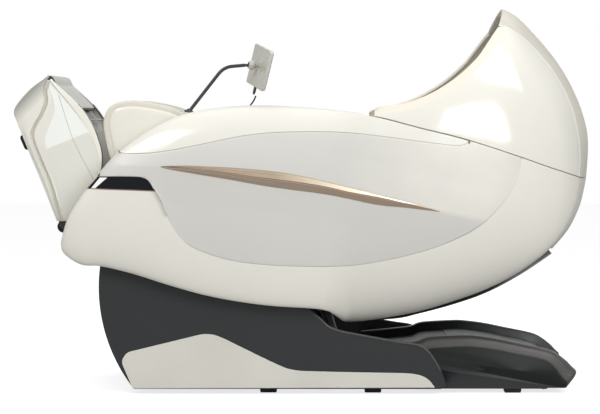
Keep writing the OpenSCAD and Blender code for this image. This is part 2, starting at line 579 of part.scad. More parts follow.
half_ts = [-1, -0.94, -0.82, -0.6, -0.3, 0, 0.3, 0.6, 0.82, 0.94, 1];
function flip(v) = [for (i = [len(v) - 1 : -1 : 0]) v[i]];
module belly_cover() color(black)
    sheet(arch(low_edge(rest_of(belly_edge), 2 * thin_gap), rest_of(belly_line), flip(half_ts), 4),
        shell_wall - 1);
function rest_of(p) = [for (i = [1 : len(p) - 1]) p[i]];
function started(p) = concat([p[0] * 0.95 + p[1] * 0.05], rest_of(p));
module tail_cover() color(cream)
    sheet(arch(low_edge(started(tail_edge), 2 * thin_gap), started(tail_line), flip(half_ts), 2.5),
        shell_wall);

// ---------------------------------------------------------------- backrest
rail_r = 12;
rail_w_back = -140;
rail_off = 95;
cushion_base = 17 - back_thick;
ear_y = [230, 238];
post_y = [340, 370];
post_drop = 4.5;
tray_y = [200, 341];
tray_u = [170, 545];
pad_in = 229;
tray_w = cushion_base - 0.3;

hood_low = even([for (p = seam_line) if (p[0] > 222) p + [0, half_gap]], 18);
hood_high = even(concat(part_of(rim_line, 221, 628),
    [for (p = crease_line) if (p[1] > 1040 && p[0] > 628) p]), 18);
hood_front = [for (t = ease(8)) hood_low[0] * (1 - t) + hood_high[0] * t];
hood_rear = even(concat([hood_low[18]], [for (i = [len(crease_line) - 1 : -1 : 0])
    if (crease_line[i][1] > 700 && crease_line[i][1] < 1040) crease_line[i]], [hood_high[18]]), 8);
hood_grid = patch(hood_low, hood_high, hood_front, hood_rear);
band_grid = arch(edge_of(crease_line, 4.2 * thin_gap), back_line, half_ts, 2.4);
module hood_side_left() color(cream) sheet(fold_last(fold_first(hood_grid, 18), 18), shell_wall);
module hood_side_right() mirror([0, 1, 0]) hood_side_left();
module hood_band() color(cream) sheet(band_grid, shell_wall);
liner_deep = 18.6;
speaker_at = [616, 328.1, 900];
// Every second point of a grid, both ways
function halved(g) = [for (i = [0 : 2 : len(g) - 1]) [for (j = [0 : 2 : len(g[0]) - 1]) g[i][j]]];
module hood_liner() color(dark) {
    both() mirror([0, 1, 0]) sheet(halved(sunk(hood_grid, liner_deep)), 4);
    sheet(halved(sunk(band_grid, liner_deep)), 4);
}
module hood_speakers() color(dark) both() translate(speaker_at) rotate([100.8, 0, -17.1]) difference() {
    cylinder(r = 32, h = 14);
    for (i = [0 : 7]) rotate(45 * i) translate([20, 0, 6]) cylinder(r = 3, h = 10);
}
function tray_z(x) = hip_at[1] + (tray_w - 3 + (x - hip_at[0]) * sin(back_angle)) / cos(back_angle);
module back_frame() color(steel) {
    on_back() {
        both() {
            translate([-20, rail_off, rail_w_back]) rotate([0, 90, 0]) cylinder(r = rail_r, h = 780);
            difference() {
                union() {
                    translate([0, ear_y[0], 0]) rotate([-90, 0, 0]) cylinder(r = 26, h = ear_y[1] - ear_y[0]);
                    translate([-26, ear_y[0], rail_w_back - 12])
                        cube([52, ear_y[1] - ear_y[0], -rail_w_back + 12]);
                }
                translate([0, ear_y[0] - 1, 0]) rotate([-90, 0, 0]) cylinder(r = hip_pin_r + fit, h = 20);
            }
            translate([tray_u[0], tray_y[0], tray_w - 6])
                cube([tray_u[1] - tray_u[0], tray_y[1] - tray_y[0], 6]);
            translate([tray_u[1] - 40, tray_y[0], rail_w_back - 12])
                cube([20, 20, tray_w - rail_w_back + 10]);
            translate([tray_u[1] - 40, 0, rail_w_back - 32]) cube([20, tray_y[0] + 20, 26]);
        }
        for (u = [-30, 745]) translate([u, -ear_y[1], rail_w_back - 14]) cube([20, 2 * ear_y[1], 28]);
    }
    both() slab([for (x = [500, 540]) [x, lookup(x, seam_line) + half_gap - post_drop],
        for (x = [560, 525]) [x, tray_z(x)]], post_y[0], post_y[1]);
}
module back_cushion() color(leather) on_back() translate([back_length / 2 - 50, 0, cushion_base])
    pad(rect_plan(back_length, back_width - 60), function(a, b)
        back_thick * (0.95 + 0.05 * (1 - a * a)) - 8 * channel(a, [-0.5, -0.1, 0.3])
            + 10 * max(0, abs(b) - 0.62), 22, 14);
module head_pillow() color(leather) on_back()
    translate([back_length - 50 - 110, 0, cushion_base + back_thick - 0.7])
        pad(rect_plan(170, 300), function(a, b) 46 + 16 * abs(b) - 3 * channel(b, [0]), 8, 12);
module shoulder_pads() color(leather) on_back() both()
    translate([(tray_u[0] + tray_u[1]) / 2, 0, tray_w + 0.3])
    pad(function(a, b)
            [(tray_u[1] - tray_u[0]) / 2 * a, pad_in + (b + 1) / 2 * (104 - 10 * (a + 1) / 2)],
        function(a, b) 162 + 25 * b - 8 * channel(a, [-0.33, 0.33]), 14, 8);

carriage_u = [20, 120];
roller_pivot = [70, -110];
knead_r = 15;
module massage_carriage() color(dark) on_back() {
    difference() {
        union() {
            both() translate([carriage_u[0], rail_off, rail_w_back]) rotate([0, 90, 0])
                cylinder(r = rail_r + 5, h = carriage_u[1] - carriage_u[0]);
            translate([carriage_u[0], -rail_off, rail_w_back - 12])
                cube([carriage_u[1] - carriage_u[0], 2 * rail_off, 12]);
            translate([carriage_u[0] + 20, -50, rail_w_back - 40]) cube([60, 100, 30]);
            for (y = [-26, 20]) hull() {
                translate([roller_pivot[0] - 16, y, rail_w_back - 4]) cube([32, 6, 2]);
                translate([roller_pivot[0], y, roller_pivot[1]])
                    rotate([-90, 0, 0]) cylinder(r = 9, h = 6, $fn = 32);
            }
        }
        both() translate([carriage_u[0] - 1, rail_off, rail_w_back]) rotate([0, 90, 0])
            cylinder(r = rail_r + fit, h = carriage_u[1] - carriage_u[0] + 2);
        translate([roller_pivot[0], -40, roller_pivot[1]])
            rotate([-90, 0, 0]) cylinder(r = 5 + fit, h = 80);
    }
}
module massage_arms() color(grey) on_back() {
    translate([roller_pivot[0], -66, roller_pivot[1]]) rotate([-90, 0, 0]) cylinder(r = 5, h = 132);
    both() {
        translate([roller_pivot[0] - 38, 34, roller_pivot[1] - 5]) cube([76, 8, 10]);
        for (u = [-34, 34])
            translate([roller_pivot[0] + u, 41, roller_pivot[1]]) rotate([-90, 0, 0]) {
                cylinder(r = 5, h = 6);
                translate([0, 0, 5]) cylinder(r = knead_r, h = 20);
            }
    }
}

// ---------------------------------------------------------------- leg rest
calf_wall = 8;
wing_line = [[-176, 66], [-150, 104], [-95, 143], [-40, 176], [10, 194], [52, 184], [80, 150]];
wing_outline = rounded([[80, 152, 20], [50, 188, 24], [8, 196, 30], [-45, 178, 60], [-95, 146, 60],
    [-152, 106, 40], [-180, 64, 14], [-140, 6, 60], [-70, -50, 40], [30, -66, 30], [96, -52, 16],
    [105, 20, 30], [97, 84, 30]]);
slide_w = -32;
slide_r = 10;
slide_off = 150;
guide_u = [-10, 96];
module leg_frame() color(steel) on_leg() {
    difference() {
        union() {
            both() {
                translate([0, 210, 0]) rotate([-90, 0, 0]) cylinder(r = 28, h = 12);
                translate([-24, 210, -50]) cube([48, 12, 50]);
                translate([guide_u[0], slide_off, slide_w]) rotate([0, 90, 0])
                    cylinder(r = slide_r + 5, h = guide_u[1] - guide_u[0]);
            }
            translate([guide_u[0], -222, -54]) cube([90, 444, 8]);
        }
        both() {
            translate([0, 200, 0]) rotate([-90, 0, 0]) cylinder(r = knee_pin_r + fit, h = 40);
            translate([guide_u[0] - 1, slide_off, slide_w]) rotate([0, 90, 0])
                cylinder(r = slide_r + fit, h = guide_u[1] - guide_u[0] + 2);
        }
    }
}
module calf_shell() color(cream) on_leg() difference() {
    union() {
        both() slab(wing_outline, leg_half - calf_wall, leg_half);
        intersection() {
            slab(wing_outline, -leg_half, leg_half);
            difference() {
                translate([-64, -leg_half, -80]) cube([170, 2 * leg_half, 26]);
                translate([-60, -leg_half + calf_wall, -54])
                    cube([160, 2 * leg_half - 2 * calf_wall, 40]);
            }
        }
    }
    translate([0, -leg_half - 1, 0]) rotate([-90, 0, 0]) cylinder(r = knee_pin_r + 3, h = 2 * leg_half + 2);
}
function well(b) = lookup(abs(b),
    [[0, 0.62], [0.1, 0.6], [0.28, 0.1], [0.5, 0], [0.72, 0.12], [0.88, 0.92], [1, 1]]);
calf_base = 30;
calf_u = [-158, 88];
module calf_cushion() color(leather) on_leg() translate([(calf_u[0] + calf_u[1]) / 2, 0, calf_base])
    pad(rect_plan(calf_u[1] - calf_u[0], 2 * (leg_half - calf_wall - close)), function(a, b)
        let (u = (calf_u[0] + calf_u[1]) / 2 + a * (calf_u[1] - calf_u[0]) / 2)
        14 + (lookup(u, wing_line) - calf_base - 26) * well(b), 9, 22);

// ---------------------------------------------------------------- foot unit
foot_wall = 7;
foot_outline = rounded([[168, 359, 14], [207, 354, 40], [274, 337, 60], [327, 303, 18], [333, 224, 60],
    [336, 58, 60], [339, -82, 14], [308, -94, 20], [240, -80, 50], [175, -32, 60], [143, 25, 50],
    [126, 80, 50], [122, 135, 50], [126, 176, 50], [136, 220, 50], [161, 290, 50]]);
hook_outline = [[300, -100], [300, -76], [336, -70], [344, -100], [338, -113], [326, -113]];
foot_side = [leg_half - 8, leg_half];
foot_in = foot_side[0] - close;
sole_u = 296;
heel_at = [334, -106];
sole_at = [313, 130];
module foot_shell() color(cream) on_leg() difference() {
    union() {
        difference() {
            slab(inset(foot_outline, 1), -foot_in, foot_in);
            slab(inset(foot_outline, 1 + foot_wall), -foot_in - 1, foot_in + 1);
            slab([[100, -4], [262, 20], [262, 300], [186, 336], [150, 330], [100, 250]],
                -foot_in - 1, foot_in + 1);
        }
        both() {
            translate([-100, slide_off, slide_w]) rotate([0, 90, 0]) cylinder(r = slide_r, h = 292);
            for (y = [60, 214]) slab(hook_outline, y, y + 8);
        }
    }
    translate([heel_at[0], -foot_in, heel_at[1]]) rotate([-90, 0, 0]) cylinder(r = 6 + fit, h = 2 * foot_in);
}
module foot_sides() color(cream) on_leg() both() slab(foot_outline, foot_side[0], foot_side[1]);
module foot_trim() color(bronze) on_leg() both() difference() {
    slab(inset(foot_outline, 3), foot_side[1], foot_side[1] + 2);
    slab(inset(foot_outline, 7), foot_side[1] - 1, foot_side[1] + 3);
    translate([178, 0, -200]) cube([300, 400, 700]);
}
function foot_edge(v) = lookup(v, [[-80, 250], [-30, 185], [25, 148], [80, 132], [135, 128], [176, 132],
    [220, 142], [290, 168], [340, 200]]);
function toe(a) = lookup(a, [[-1, 0.6], [-0.8, 0.15], [-0.6, 0], [0.5, 0], [0.75, 0.8], [1, 1]]);
module foot_cushion() color(dark) on_leg() translate([sole_u, 0, 118]) rotate([0, -90, 0])
    pad(rect_plan(376, 2 * (foot_in - close)), function(a, b)
        18 + (sole_u - foot_edge(118 + 188 * a) - 24) * max(well(b), toe(a)), 12, 22);
module sole_rollers() color(grey) on_leg() translate([sole_at[0], 0, sole_at[1]]) rotate([-90, 0, 0]) {
    translate([0, 0, -foot_in + 0.4]) cylinder(r = 5, h = 2 * foot_in - 0.8);
    for (y = [-160, -120, -80, 60, 100, 140]) translate([0, 0, y]) cylinder(r = 11, h = 20);
}
module heel_rollers() color(dark) on_leg() both() difference() {
    translate([heel_at[0], 70, heel_at[1]]) rotate([-90, 0, 0]) cylinder(r = heel_roller_r, h = 142);
    translate([heel_at[0], 60, heel_at[1]]) rotate([-90, 0, 0]) cylinder(r = 6 + fit, h = 160);
}
module heel_axle() color(steel) on_leg() translate([heel_at[0], -foot_in + 1, heel_at[1]]) rotate([-90, 0, 0])
    cylinder(r = 6, h = 2 * foot_in - 2);
module foot_bumpers() color(dark) on_leg() both()
    slab(rounded([[333.5, 168, 0], [350, 171, 6], [350, 217, 6], [332.5, 220, 0]]), 130, 200);

// ---------------------------------------------------------------- tablet
arm_root = [-371, -300, 901.5];
arm_path = [[-371, -300, 907], [-259, -297, 1046], [-192, -290, 1052]];
ball_at = [-170, -288, 1052];
tablet_at = [-143.5, -280, 1046];
tablet_turn = [9, 11.6, 17.3];
ball_r = 11;
cable_path = [[-157.5, -281.5, 954], [-160, -282, 947], [-164, -284, 939], [-169, -287, 931],
    [-173, -290, 926], [-174.2, -291.5, 922.4]];
module rod(a, b, r) {
    v = b - a;
    translate(a) rotate([0, acos(v[2] / norm(v)), atan2(v[1], v[0])]) cylinder(r = r, h = norm(v));
}
module tablet_arm() color(dark) {
    translate(arm_root) rotate([0, -9, 0]) cylinder(r = 15, h = 9);
    for (i = [0 : 1]) rod(arm_path[i], arm_path[i + 1], arm_d / 2);
    translate(arm_path[1]) sphere(r = arm_d / 2 + 0.4);
    rod(arm_path[2], ball_at, arm_d / 2 - 1);
    translate(ball_at) sphere(r = ball_r);
}
module on_tablet() translate(tablet_at) rotate(tablet_turn) children();
module box_xyz(size) translate(-size / 2) cube(size);
module tablet_case() color(cream) difference() {
    union() {
        on_tablet() {
            box_xyz([tablet_t, tablet_w, tablet_h]);
            translate([-28 + ball_r - 6, 0, 5]) rotate([0, 90, 0]) cylinder(r = 8, h = 28 - ball_r);
        }
        translate(ball_at) sphere(r = ball_r + 4);
    }
    translate(ball_at) sphere(r = ball_r + 0.1);
    translate(ball_at + [-30 - 5, 0, 0]) box_xyz([60, 60, 60]);
    on_tablet() translate([tablet_t / 2, 0, 0]) box_xyz([6, tablet_w - 12, tablet_h - 12]);
}
module tablet_screen() color(dark) on_tablet() translate([tablet_t / 2 - 1.5, 0, 0])
    box_xyz([3 - 0.4, tablet_w - 13, tablet_h - 13]);
// A round tube along points, with rings square to the route
function along_path(p, i) = unit(p[min(i + 1, len(p) - 1)] - p[max(i - 1, 0)]);
module tube(p, r, sides = 8) {
    rings = [for (i = [0 : len(p) - 1])
        let (t = along_path(p, i), a = unit(cross(t, [0, 1, 0.2])), b = cross(t, a))
        [for (k = [0 : sides - 1]) p[i] + r * (cos(360 * k / sides) * a + sin(360 * k / sides) * b)]];
    n = len(p) - 1;
    faces = concat([for (i = [0 : n - 1], k = [0 : sides - 1])
        let (a = i * sides + k, b = i * sides + (k + 1) % sides)
        each [[a, a + sides, b], [b, a + sides, b + sides]]],
        [for (k = [1 : sides - 2]) each [[0, k, k + 1], [n * sides, n * sides + k + 1, n * sides + k]]]);
    polyhedron([for (r = rings) each r], faces, convexity = 4);
}
module tablet_cable() color(dark) tube(cable_path, cable_d / 2);
module tablet_plug() color(dark) on_tablet() translate([0, 0, -tablet_h / 2]) {
    translate([-3.5, -6, -18]) cube([7, 12, 18]);
    translate([0, 0, -26]) cylinder(r = cable_d / 2 + 0.6, h = 9);
}

base_frame();
base_front_cover();
base_side_covers();
base_trims();
base_deck_cover();
deck_lid();
base_feet();
transport_wheels();
wheel_axle();
power_panel();
power_switch();
control_box();
air_pump();
tilt_motor();
tilt_rod();
seat_frame();
tilt_axle();
side_shell_left();
side_shell_right();
shell_liners();
nose_caps();
side_panel_left();
side_panel_right();
armrest_cover_left();
armrest_cover_right();
accent_blades();
badge_plates();
badge_frames();
arm_pads();
seat_pan();
seat_cushion();
belly_cover();
tail_cover();
back_frame();
back_cushion();
head_pillow();
shoulder_pads();
hood_side_left();
hood_side_right();
hood_band();
hood_liner();
hood_speakers();
massage_carriage();
massage_arms();
leg_frame();
calf_shell();
calf_cushion();
foot_shell();
foot_sides();
foot_trim();
foot_cushion();
sole_rollers();
heel_rollers();
heel_axle();
foot_bumpers();
tablet_arm();
tablet_case();
tablet_screen();
tablet_plug();
tablet_cable();
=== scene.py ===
"""Looks of a reclining massage chair. Lengths are millimetres until a mesh is made."""

from math import cos, pi, radians, sin

import bmesh
import bpy
import numpy as np
from mathutils import Euler, Matrix, Vector


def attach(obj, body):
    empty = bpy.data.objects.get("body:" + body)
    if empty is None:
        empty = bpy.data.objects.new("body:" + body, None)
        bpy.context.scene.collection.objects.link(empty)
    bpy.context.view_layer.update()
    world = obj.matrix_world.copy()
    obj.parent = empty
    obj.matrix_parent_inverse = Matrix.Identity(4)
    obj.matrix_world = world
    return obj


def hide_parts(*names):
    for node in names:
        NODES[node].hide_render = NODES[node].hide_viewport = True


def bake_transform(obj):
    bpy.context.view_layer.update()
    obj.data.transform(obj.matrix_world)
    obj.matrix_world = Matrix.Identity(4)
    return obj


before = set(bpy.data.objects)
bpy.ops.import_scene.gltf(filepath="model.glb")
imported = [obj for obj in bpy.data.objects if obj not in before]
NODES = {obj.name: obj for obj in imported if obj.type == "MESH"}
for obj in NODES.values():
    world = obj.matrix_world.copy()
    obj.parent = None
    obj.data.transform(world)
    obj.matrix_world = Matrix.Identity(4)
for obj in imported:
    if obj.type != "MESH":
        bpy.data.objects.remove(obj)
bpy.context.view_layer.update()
MM = 0.001

# ---------------- stage, in metres
CAMERA_AT = (0.048, -7.3, 0.909)
CAMERA_TURN = (90 - 2.54, 0, 0.52)
LENS = 131.25
WHITE = (1, 1, 1, 1)
WORLD_STRENGTH = 0.42
FLOOR_HALF, FLOOR_COLOUR, FLOOR_GLOW = 14.0, (0.5, 0.5, 0.5, 1), 0.76
LAMPS = [
    ("key", (-1.5, -3.2, 3.6), (0, 0, 0.7), (2.4, 1.6), 70),
    ("fill", (2.6, -3.4, 2.8), (0, 0, 0.7), (2.2, 1.6), 76),
    ("back", (0.5, 3.6, 3.0), (0, 0, 0.7), (2.6, 1.6), 50),
    ("top", (0, 0, 4.2), (0, 0, 0), (3.0, 2.4), 40),
]
CARD_STRENGTH = 11.0
CARDS = {
    "hood_card_high": [(1.87, -1.25, 4.78), (3.08, -1.56, 3.99), (3.85, -2.0, 2.75), (2.72, -2.96, 3.16),
                       (1.86, -3.1, 3.59), (1.22, -2.77, 4.12)],
    "hood_card_low": [(1.24, -3.86, 2.73), (1.6, -3.77, 2.74), (2.44, -3.51, 2.56), (2.98, -3.38, 2.04),
                      (3.3, -3.32, 1.27), (2.88, -3.64, 1.22), (1.87, -4.08, 1.56), (1.1, -4.19, 1.9)],
    "armrest_card": [(-2.95, -0.98, 3.93), (-2.29, -1.99, 4.0), (-1.02, -3.68, 3.02), (-1.31, -3.98, 2.34),
                     (-2.21, -3.12, 3.16), (-2.9, -1.2, 3.6)],
}


def placed(name, data):
    """A new object in the scene."""
    obj = bpy.data.objects.new(name, data)
    bpy.context.scene.collection.objects.link(obj)
    return obj


def tree_of(owner):
    """The emptied node tree of a material or a world."""
    owner.use_nodes = True
    owner.node_tree.nodes.clear()
    return owner.node_tree


def add_node(tree, kind, inputs=(), out=0, **values):
    """An output of a new shader node. Inputs take sockets or numbers; values are properties or inputs."""
    n = tree.nodes.new("ShaderNode" + kind)
    for key, value in values.items():
        if hasattr(n, key):
            setattr(n, key, value)
        else:
            n.inputs[key.replace("_", " ")].default_value = value
    for key, source in dict(inputs).items():
        if isinstance(source, bpy.types.NodeSocket):
            tree.links.new(source, n.inputs[key])
        else:
            n.inputs[key].default_value = source
    return n.outputs[out] if n.outputs else None


def seen(tree):
    """1 for what the camera, a mirror or glass sees, 0 for the light that falls on matt surfaces."""
    total = add_node(tree, "LightPath", out="Is Camera Ray")
    rays = total.node.outputs
    for name in ("Is Glossy Ray", "Is Transmission Ray"):
        total = add_node(tree, "Math", {0: total, 1: rays[name]}, operation="ADD", use_clamp=True)
    return total


def stage():
    scene = bpy.context.scene
    scene.view_settings.view_transform = "Standard"
    camera = placed("camera", bpy.data.cameras.new("camera"))
    camera.location = CAMERA_AT
    camera.rotation_euler = [radians(a) for a in CAMERA_TURN]
    camera.data.lens = LENS
    camera.data.clip_end = 60
    scene.camera = camera

    scene.world = bpy.data.worlds.new("studio")
    tree = tree_of(scene.world)
    light = add_node(tree, "Background", Color=WHITE, Strength=WORLD_STRENGTH)
    white = add_node(tree, "Background", Color=WHITE)
    mix = add_node(tree, "MixShader", {0: seen(tree), 1: light, 2: white})
    add_node(tree, "OutputWorld", {"Surface": mix})

    w = FLOOR_HALF
    floor_mesh = bpy.data.meshes.new("floor")
    floor_mesh.from_pydata([(-w, -w, 0), (w, -w, 0), (w, w, 0), (-w, w, 0)], [], [(0, 1, 2, 3)])
    pale = bpy.data.materials.new("pale_floor")
    tree = tree_of(pale)
    matt = add_node(tree, "BsdfDiffuse", Color=FLOOR_COLOUR)
    glow = add_node(tree, "Math", {0: seen(tree), 1: FLOOR_GLOW}, operation="MULTIPLY")
    glow = add_node(tree, "Emission", {"Strength": glow})
    add_node(tree, "OutputMaterial", {"Surface": add_node(tree, "AddShader", {0: matt, 1: glow})})
    floor_mesh.materials.append(pale)
    placed("floor", floor_mesh)

    for name, at, to, size, watts in LAMPS:
        data = bpy.data.lights.new(name, "AREA")
        data.shape = "RECTANGLE"
        data.size, data.size_y = size
        data.energy = watts
        lamp = placed(name, data)
        lamp.location = at
        lamp.visible_glossy = False
        lamp.rotation_euler = (Vector(to) - Vector(at)).to_track_quat("-Z", "Y").to_euler()
    for name, corners in CARDS.items():
        card(name, corners)


def card(name, corners):
    """A glowing card that only glossy surfaces see."""
    mesh = bpy.data.meshes.new(name)
    n = len(corners)
    faces = [(0, 1 + i, 1 + (i + 1) % n) for i in range(n)]
    mesh.from_pydata([tuple(np.mean(corners, 0))] + corners, [], faces)
    glow = bpy.data.materials.new(name)
    tree = tree_of(glow)
    add_node(tree, "OutputMaterial", {"Surface": add_node(tree, "Emission", Strength=CARD_STRENGTH)})
    mesh.materials.append(glow)
    obj = placed(name, mesh)
    obj.visible_camera = obj.visible_diffuse = obj.visible_shadow = False


# ---------------- finishes
MATS = {}


def tone(r, g, b):
    """Linear colour of an 8-bit screen colour."""
    c = [v / 255 / 12.92 if v <= 10 else ((v / 255 + 0.055) / 1.055) ** 2.4 for v in (r, g, b)]
    return (*c, 1)


def shade(colour, k):
    return (*[min(c * k, 1) for c in colour[:3]], 1)


class Finish:
    """A material of MATS, built up from layers of colour, roughness and height."""

    def __init__(self, name, colour, rough, **sockets):
        MATS[name] = bpy.data.materials.new(name)
        MATS[name].use_nodes = True
        self.tree = MATS[name].node_tree
        self.sockets = self.tree.nodes["Principled BSDF"].inputs
        for key, value in {"Base Color": colour, "Roughness": rough, **sockets}.items():
            self.sockets[key.replace("_", " ")].default_value = value
        self.colour, self.height = colour, None
        self.at = self.node("TexCoord", out="Object")

    def node(self, kind, inputs=(), out=0, **values):
        return add_node(self.tree, kind, inputs, out, **values)

    def sums(self, operation, *sources, **values):
        return self.node("Math", dict(enumerate(sources)), operation=operation, **values)

    def axis(self, k):
        return self.node("SeparateXYZ", {"Vector": self.at}, out=k)

    def noise(self, scale, detail, stretch=None):
        at = self.node("Mapping", {"Vector": self.at}, Scale=stretch) if stretch else self.at
        return self.node("TexNoise", {"Vector": at}, Scale=scale, Detail=detail)

    def cells(self, scale):
        """Distance to the edges of wobbled cells."""
        wobble = self.node("TexNoise", {"Vector": self.at}, out=1, Scale=scale * 0.6)
        wobble = self.node("VectorMath", {0: wobble}, operation="SCALE", Scale=0.6 / scale)
        at = self.node("VectorMath", {0: self.at, 1: wobble}, operation="ADD")
        return self.node("TexVoronoi", {"Vector": at}, feature="DISTANCE_TO_EDGE", Scale=scale)

    def ramp(self, source, low, high, to_low=0.0, to_high=1.0):
        """source's stretch from low to high turned into to_low to to_high."""
        return self.node("MapRange", {"Value": source}, From_Min=low, From_Max=high, To_Min=to_low,
                         To_Max=to_high)

    def turned(self):
        """0 on surfaces that face the view, 1 on those seen edge on."""
        return self.node("LayerWeight", out="Facing", Blend=0.5)

    def above(self, slope, rise, low, high):
        """1 above the line z = -slope * x - rise of the side view, 0 below it, in metres."""
        line = self.sums("MULTIPLY_ADD", self.axis(0), slope, rise)
        return self.ramp(self.sums("ADD", self.axis(2), line), low, high)

    def paint(self, source, other, most=1.0):
        """Mixes another colour in by source."""
        base = self.sockets["Base Color"]
        before = base.links[0].from_socket if base.is_linked else base.default_value
        amount = self.sums("MULTIPLY", source, most, use_clamp=True)
        self.tree.links.new(self.node("Mix", {0: amount, 6: before, 7: other}, out=2, data_type="RGBA"), base)

    def mottle(self, scale, detail, k, most=1.0):
        """Mixes the finish's own colour times k in by a noise."""
        self.paint(self.ramp(self.noise(scale, detail), 0.3, 0.7), shade(self.colour, k), most)

    def roughen(self, noise, low, high):
        self.tree.links.new(self.ramp(noise, 0.3, 0.7, low, high), self.sockets["Roughness"])

    def matt_edges(self, most):
        """Surfaces seen edge on lose their mirror."""
        rough = self.sockets["Roughness"]
        extra = self.ramp(self.turned(), 0.5, 0.85, 0, most)
        self.tree.links.new(self.sums("ADD", rough.links[0].from_socket, extra), rough)

    def bump(self, source, strength, depth):
        """Adds a height of the given depth in metres."""
        inputs = {"Height": source, "Normal": self.height} if self.height else {"Height": source}
        self.height = self.node("Bump", inputs, Strength=strength, Distance=depth)
        self.tree.links.new(self.height, self.sockets["Normal"])


def gloss_plastic(name, colour, rough=0.2, coat=0.6, coat_rough=0.04, peel=0.15, spec=0.5, edge=0.0,
                  far=None):
    """Gloss paint with painted shade, darker by edge where seen edge on, and a painted highlight of colour
    far towards the head end.
    """
    f = Finish(name, colour, rough, Coat_Weight=coat, Coat_Roughness=coat_rough, Specular_IOR_Level=spec)
    if far:
        # painted highlight: the paler colour far is mixed in towards the head end
        f.paint(f.ramp(f.axis(0), 0.15, 0.4), far)
    if edge:
        # painted shade: the colour darkens by edge where the surface is seen edge on
        f.paint(f.ramp(f.turned(), 0.3, 1.0), shade(colour, 0.3), edge)
    f.mottle(3.0, 4, 0.965)
    f.mottle(900, 2, 1.03, 0.5)
    f.roughen(f.noise(30, 3), rough * 0.85, rough * 1.2)
    if edge:
        f.matt_edges(0.75)
    f.bump(f.noise(260, 2), peel, 0.00005)


def satin_plastic(name, colour, rough=0.45, grain=1400, depth=0.00008, spec=0.45):
    f = Finish(name, colour, rough, Specular_IOR_Level=spec)
    f.mottle(5.0, 4, 0.93)
    f.roughen(f.noise(40, 4), rough * 0.88, rough * 1.12)
    f.bump(f.noise(grain, 3), 0.35, depth)


def panel_paint(name, colour, far):
    """Fine satin paint with a painted highlight: warmer and paler above the fold towards the head end."""
    f = Finish(name, colour, 0.42, Specular_IOR_Level=0.45)
    # painted highlight above the fold, where the panel faces up
    f.paint(f.sums("MULTIPLY", f.above(0.225, -0.684, -0.008, 0.012), f.ramp(f.axis(0), 0.12, 0.42)), far)
    f.mottle(5.0, 4, 0.97, 0.5)
    f.roughen(f.noise(40, 4), 0.37, 0.47)
    f.bump(f.noise(1600, 3), 0.35, 0.00004)


def foot_paint(name, colour, high=None):
    """Satin paint with one facet line and a painted highlight above it, or with painted shade on its upper
    sole edge; both get painted shade where seen edge on.
    """
    f = Finish(name, colour, 0.4, Specular_IOR_Level=0.2)
    if high:
        # painted highlight: paler above the facet line
        f.paint(f.above(-0.405, -1.121, -0.0015, 0.0015), high)
    else:
        # painted shade on the upper sole edge
        f.paint(f.above(-1.0, -1.846, -0.055, 0.006), shade(colour, 0.45))
    # painted shade where the surface is seen edge on
    f.paint(f.ramp(f.turned(), 0.3, 1.0), shade(colour, 0.35), 0.9)
    f.roughen(f.noise(30, 3), 0.34, 0.48)
    f.bump(f.noise(260, 2), 0.15, 0.00005)


def leather(name, colour, rough=0.5):
    f = Finish(name, colour, rough, Specular_IOR_Level=0.45)
    f.mottle(9, 5, 0.9)
    grain = f.cells(520)
    f.paint(f.ramp(grain, 0.0, 0.12, 1.0, 0.0), shade(colour, 0.72), 0.35)
    f.roughen(f.noise(60, 4), rough * 0.85, rough * 1.15)
    f.bump(grain, 0.35, 0.00012)
    f.bump(f.noise(70, 4), 0.5, 0.0004)


def painted_metal(name, colour, rough=0.4):
    f = Finish(name, colour, rough, Specular_IOR_Level=0.5, Coat_Weight=0.2, Coat_Roughness=0.2)
    f.mottle(14, 4, 0.85)
    f.roughen(f.noise(80, 3), rough * 0.8, rough * 1.25)
    f.bump(f.noise(2200, 2), 0.3, 0.00006)


def bare_metal(name, colour, rough=0.32):
    f = Finish(name, colour, rough, Metallic=1.0)
    f.mottle(18, 5, 0.8)
    f.roughen(f.noise(300, 3, (1, 14, 1)), rough * 0.75, rough * 1.3)
    f.bump(f.noise(500, 2, (1, 20, 1)), 0.2, 0.00004)


def accent_paint(name, colour, far, rough=0.36):
    """Brushed metallic paint that pales towards the head end."""
    f = Finish(name, colour, rough, Metallic=0.3, Specular_IOR_Level=0.4)
    f.paint(f.ramp(f.axis(0), -0.1, 0.38), far)
    f.roughen(f.noise(200, 3, (1, 12, 12)), rough * 0.95, rough * 1.06)
    f.bump(f.noise(700, 2, (1, 16, 16)), 0.05, 0.00002)


def mesh_cloth(name, colour, rough=0.85, waves=45):
    f = Finish(name, colour, rough, Sheen_Weight=0.3, Sheen_Roughness=0.5, Specular_IOR_Level=0.25)
    f.mottle(11, 4, 0.8)
    x, y, z = (f.node("TexWave", {"Vector": f.at}, out=1, bands_direction=k, Scale=waves, Distortion=0.4)
               for k in "XYZ")
    high = f.sums("MAXIMUM", f.sums("MAXIMUM", x, y), z)
    f.paint(high, shade(colour, 1.5), 0.3)
    f.bump(high, 0.5, 0.0003)


CREAM = tone(236, 234, 224)


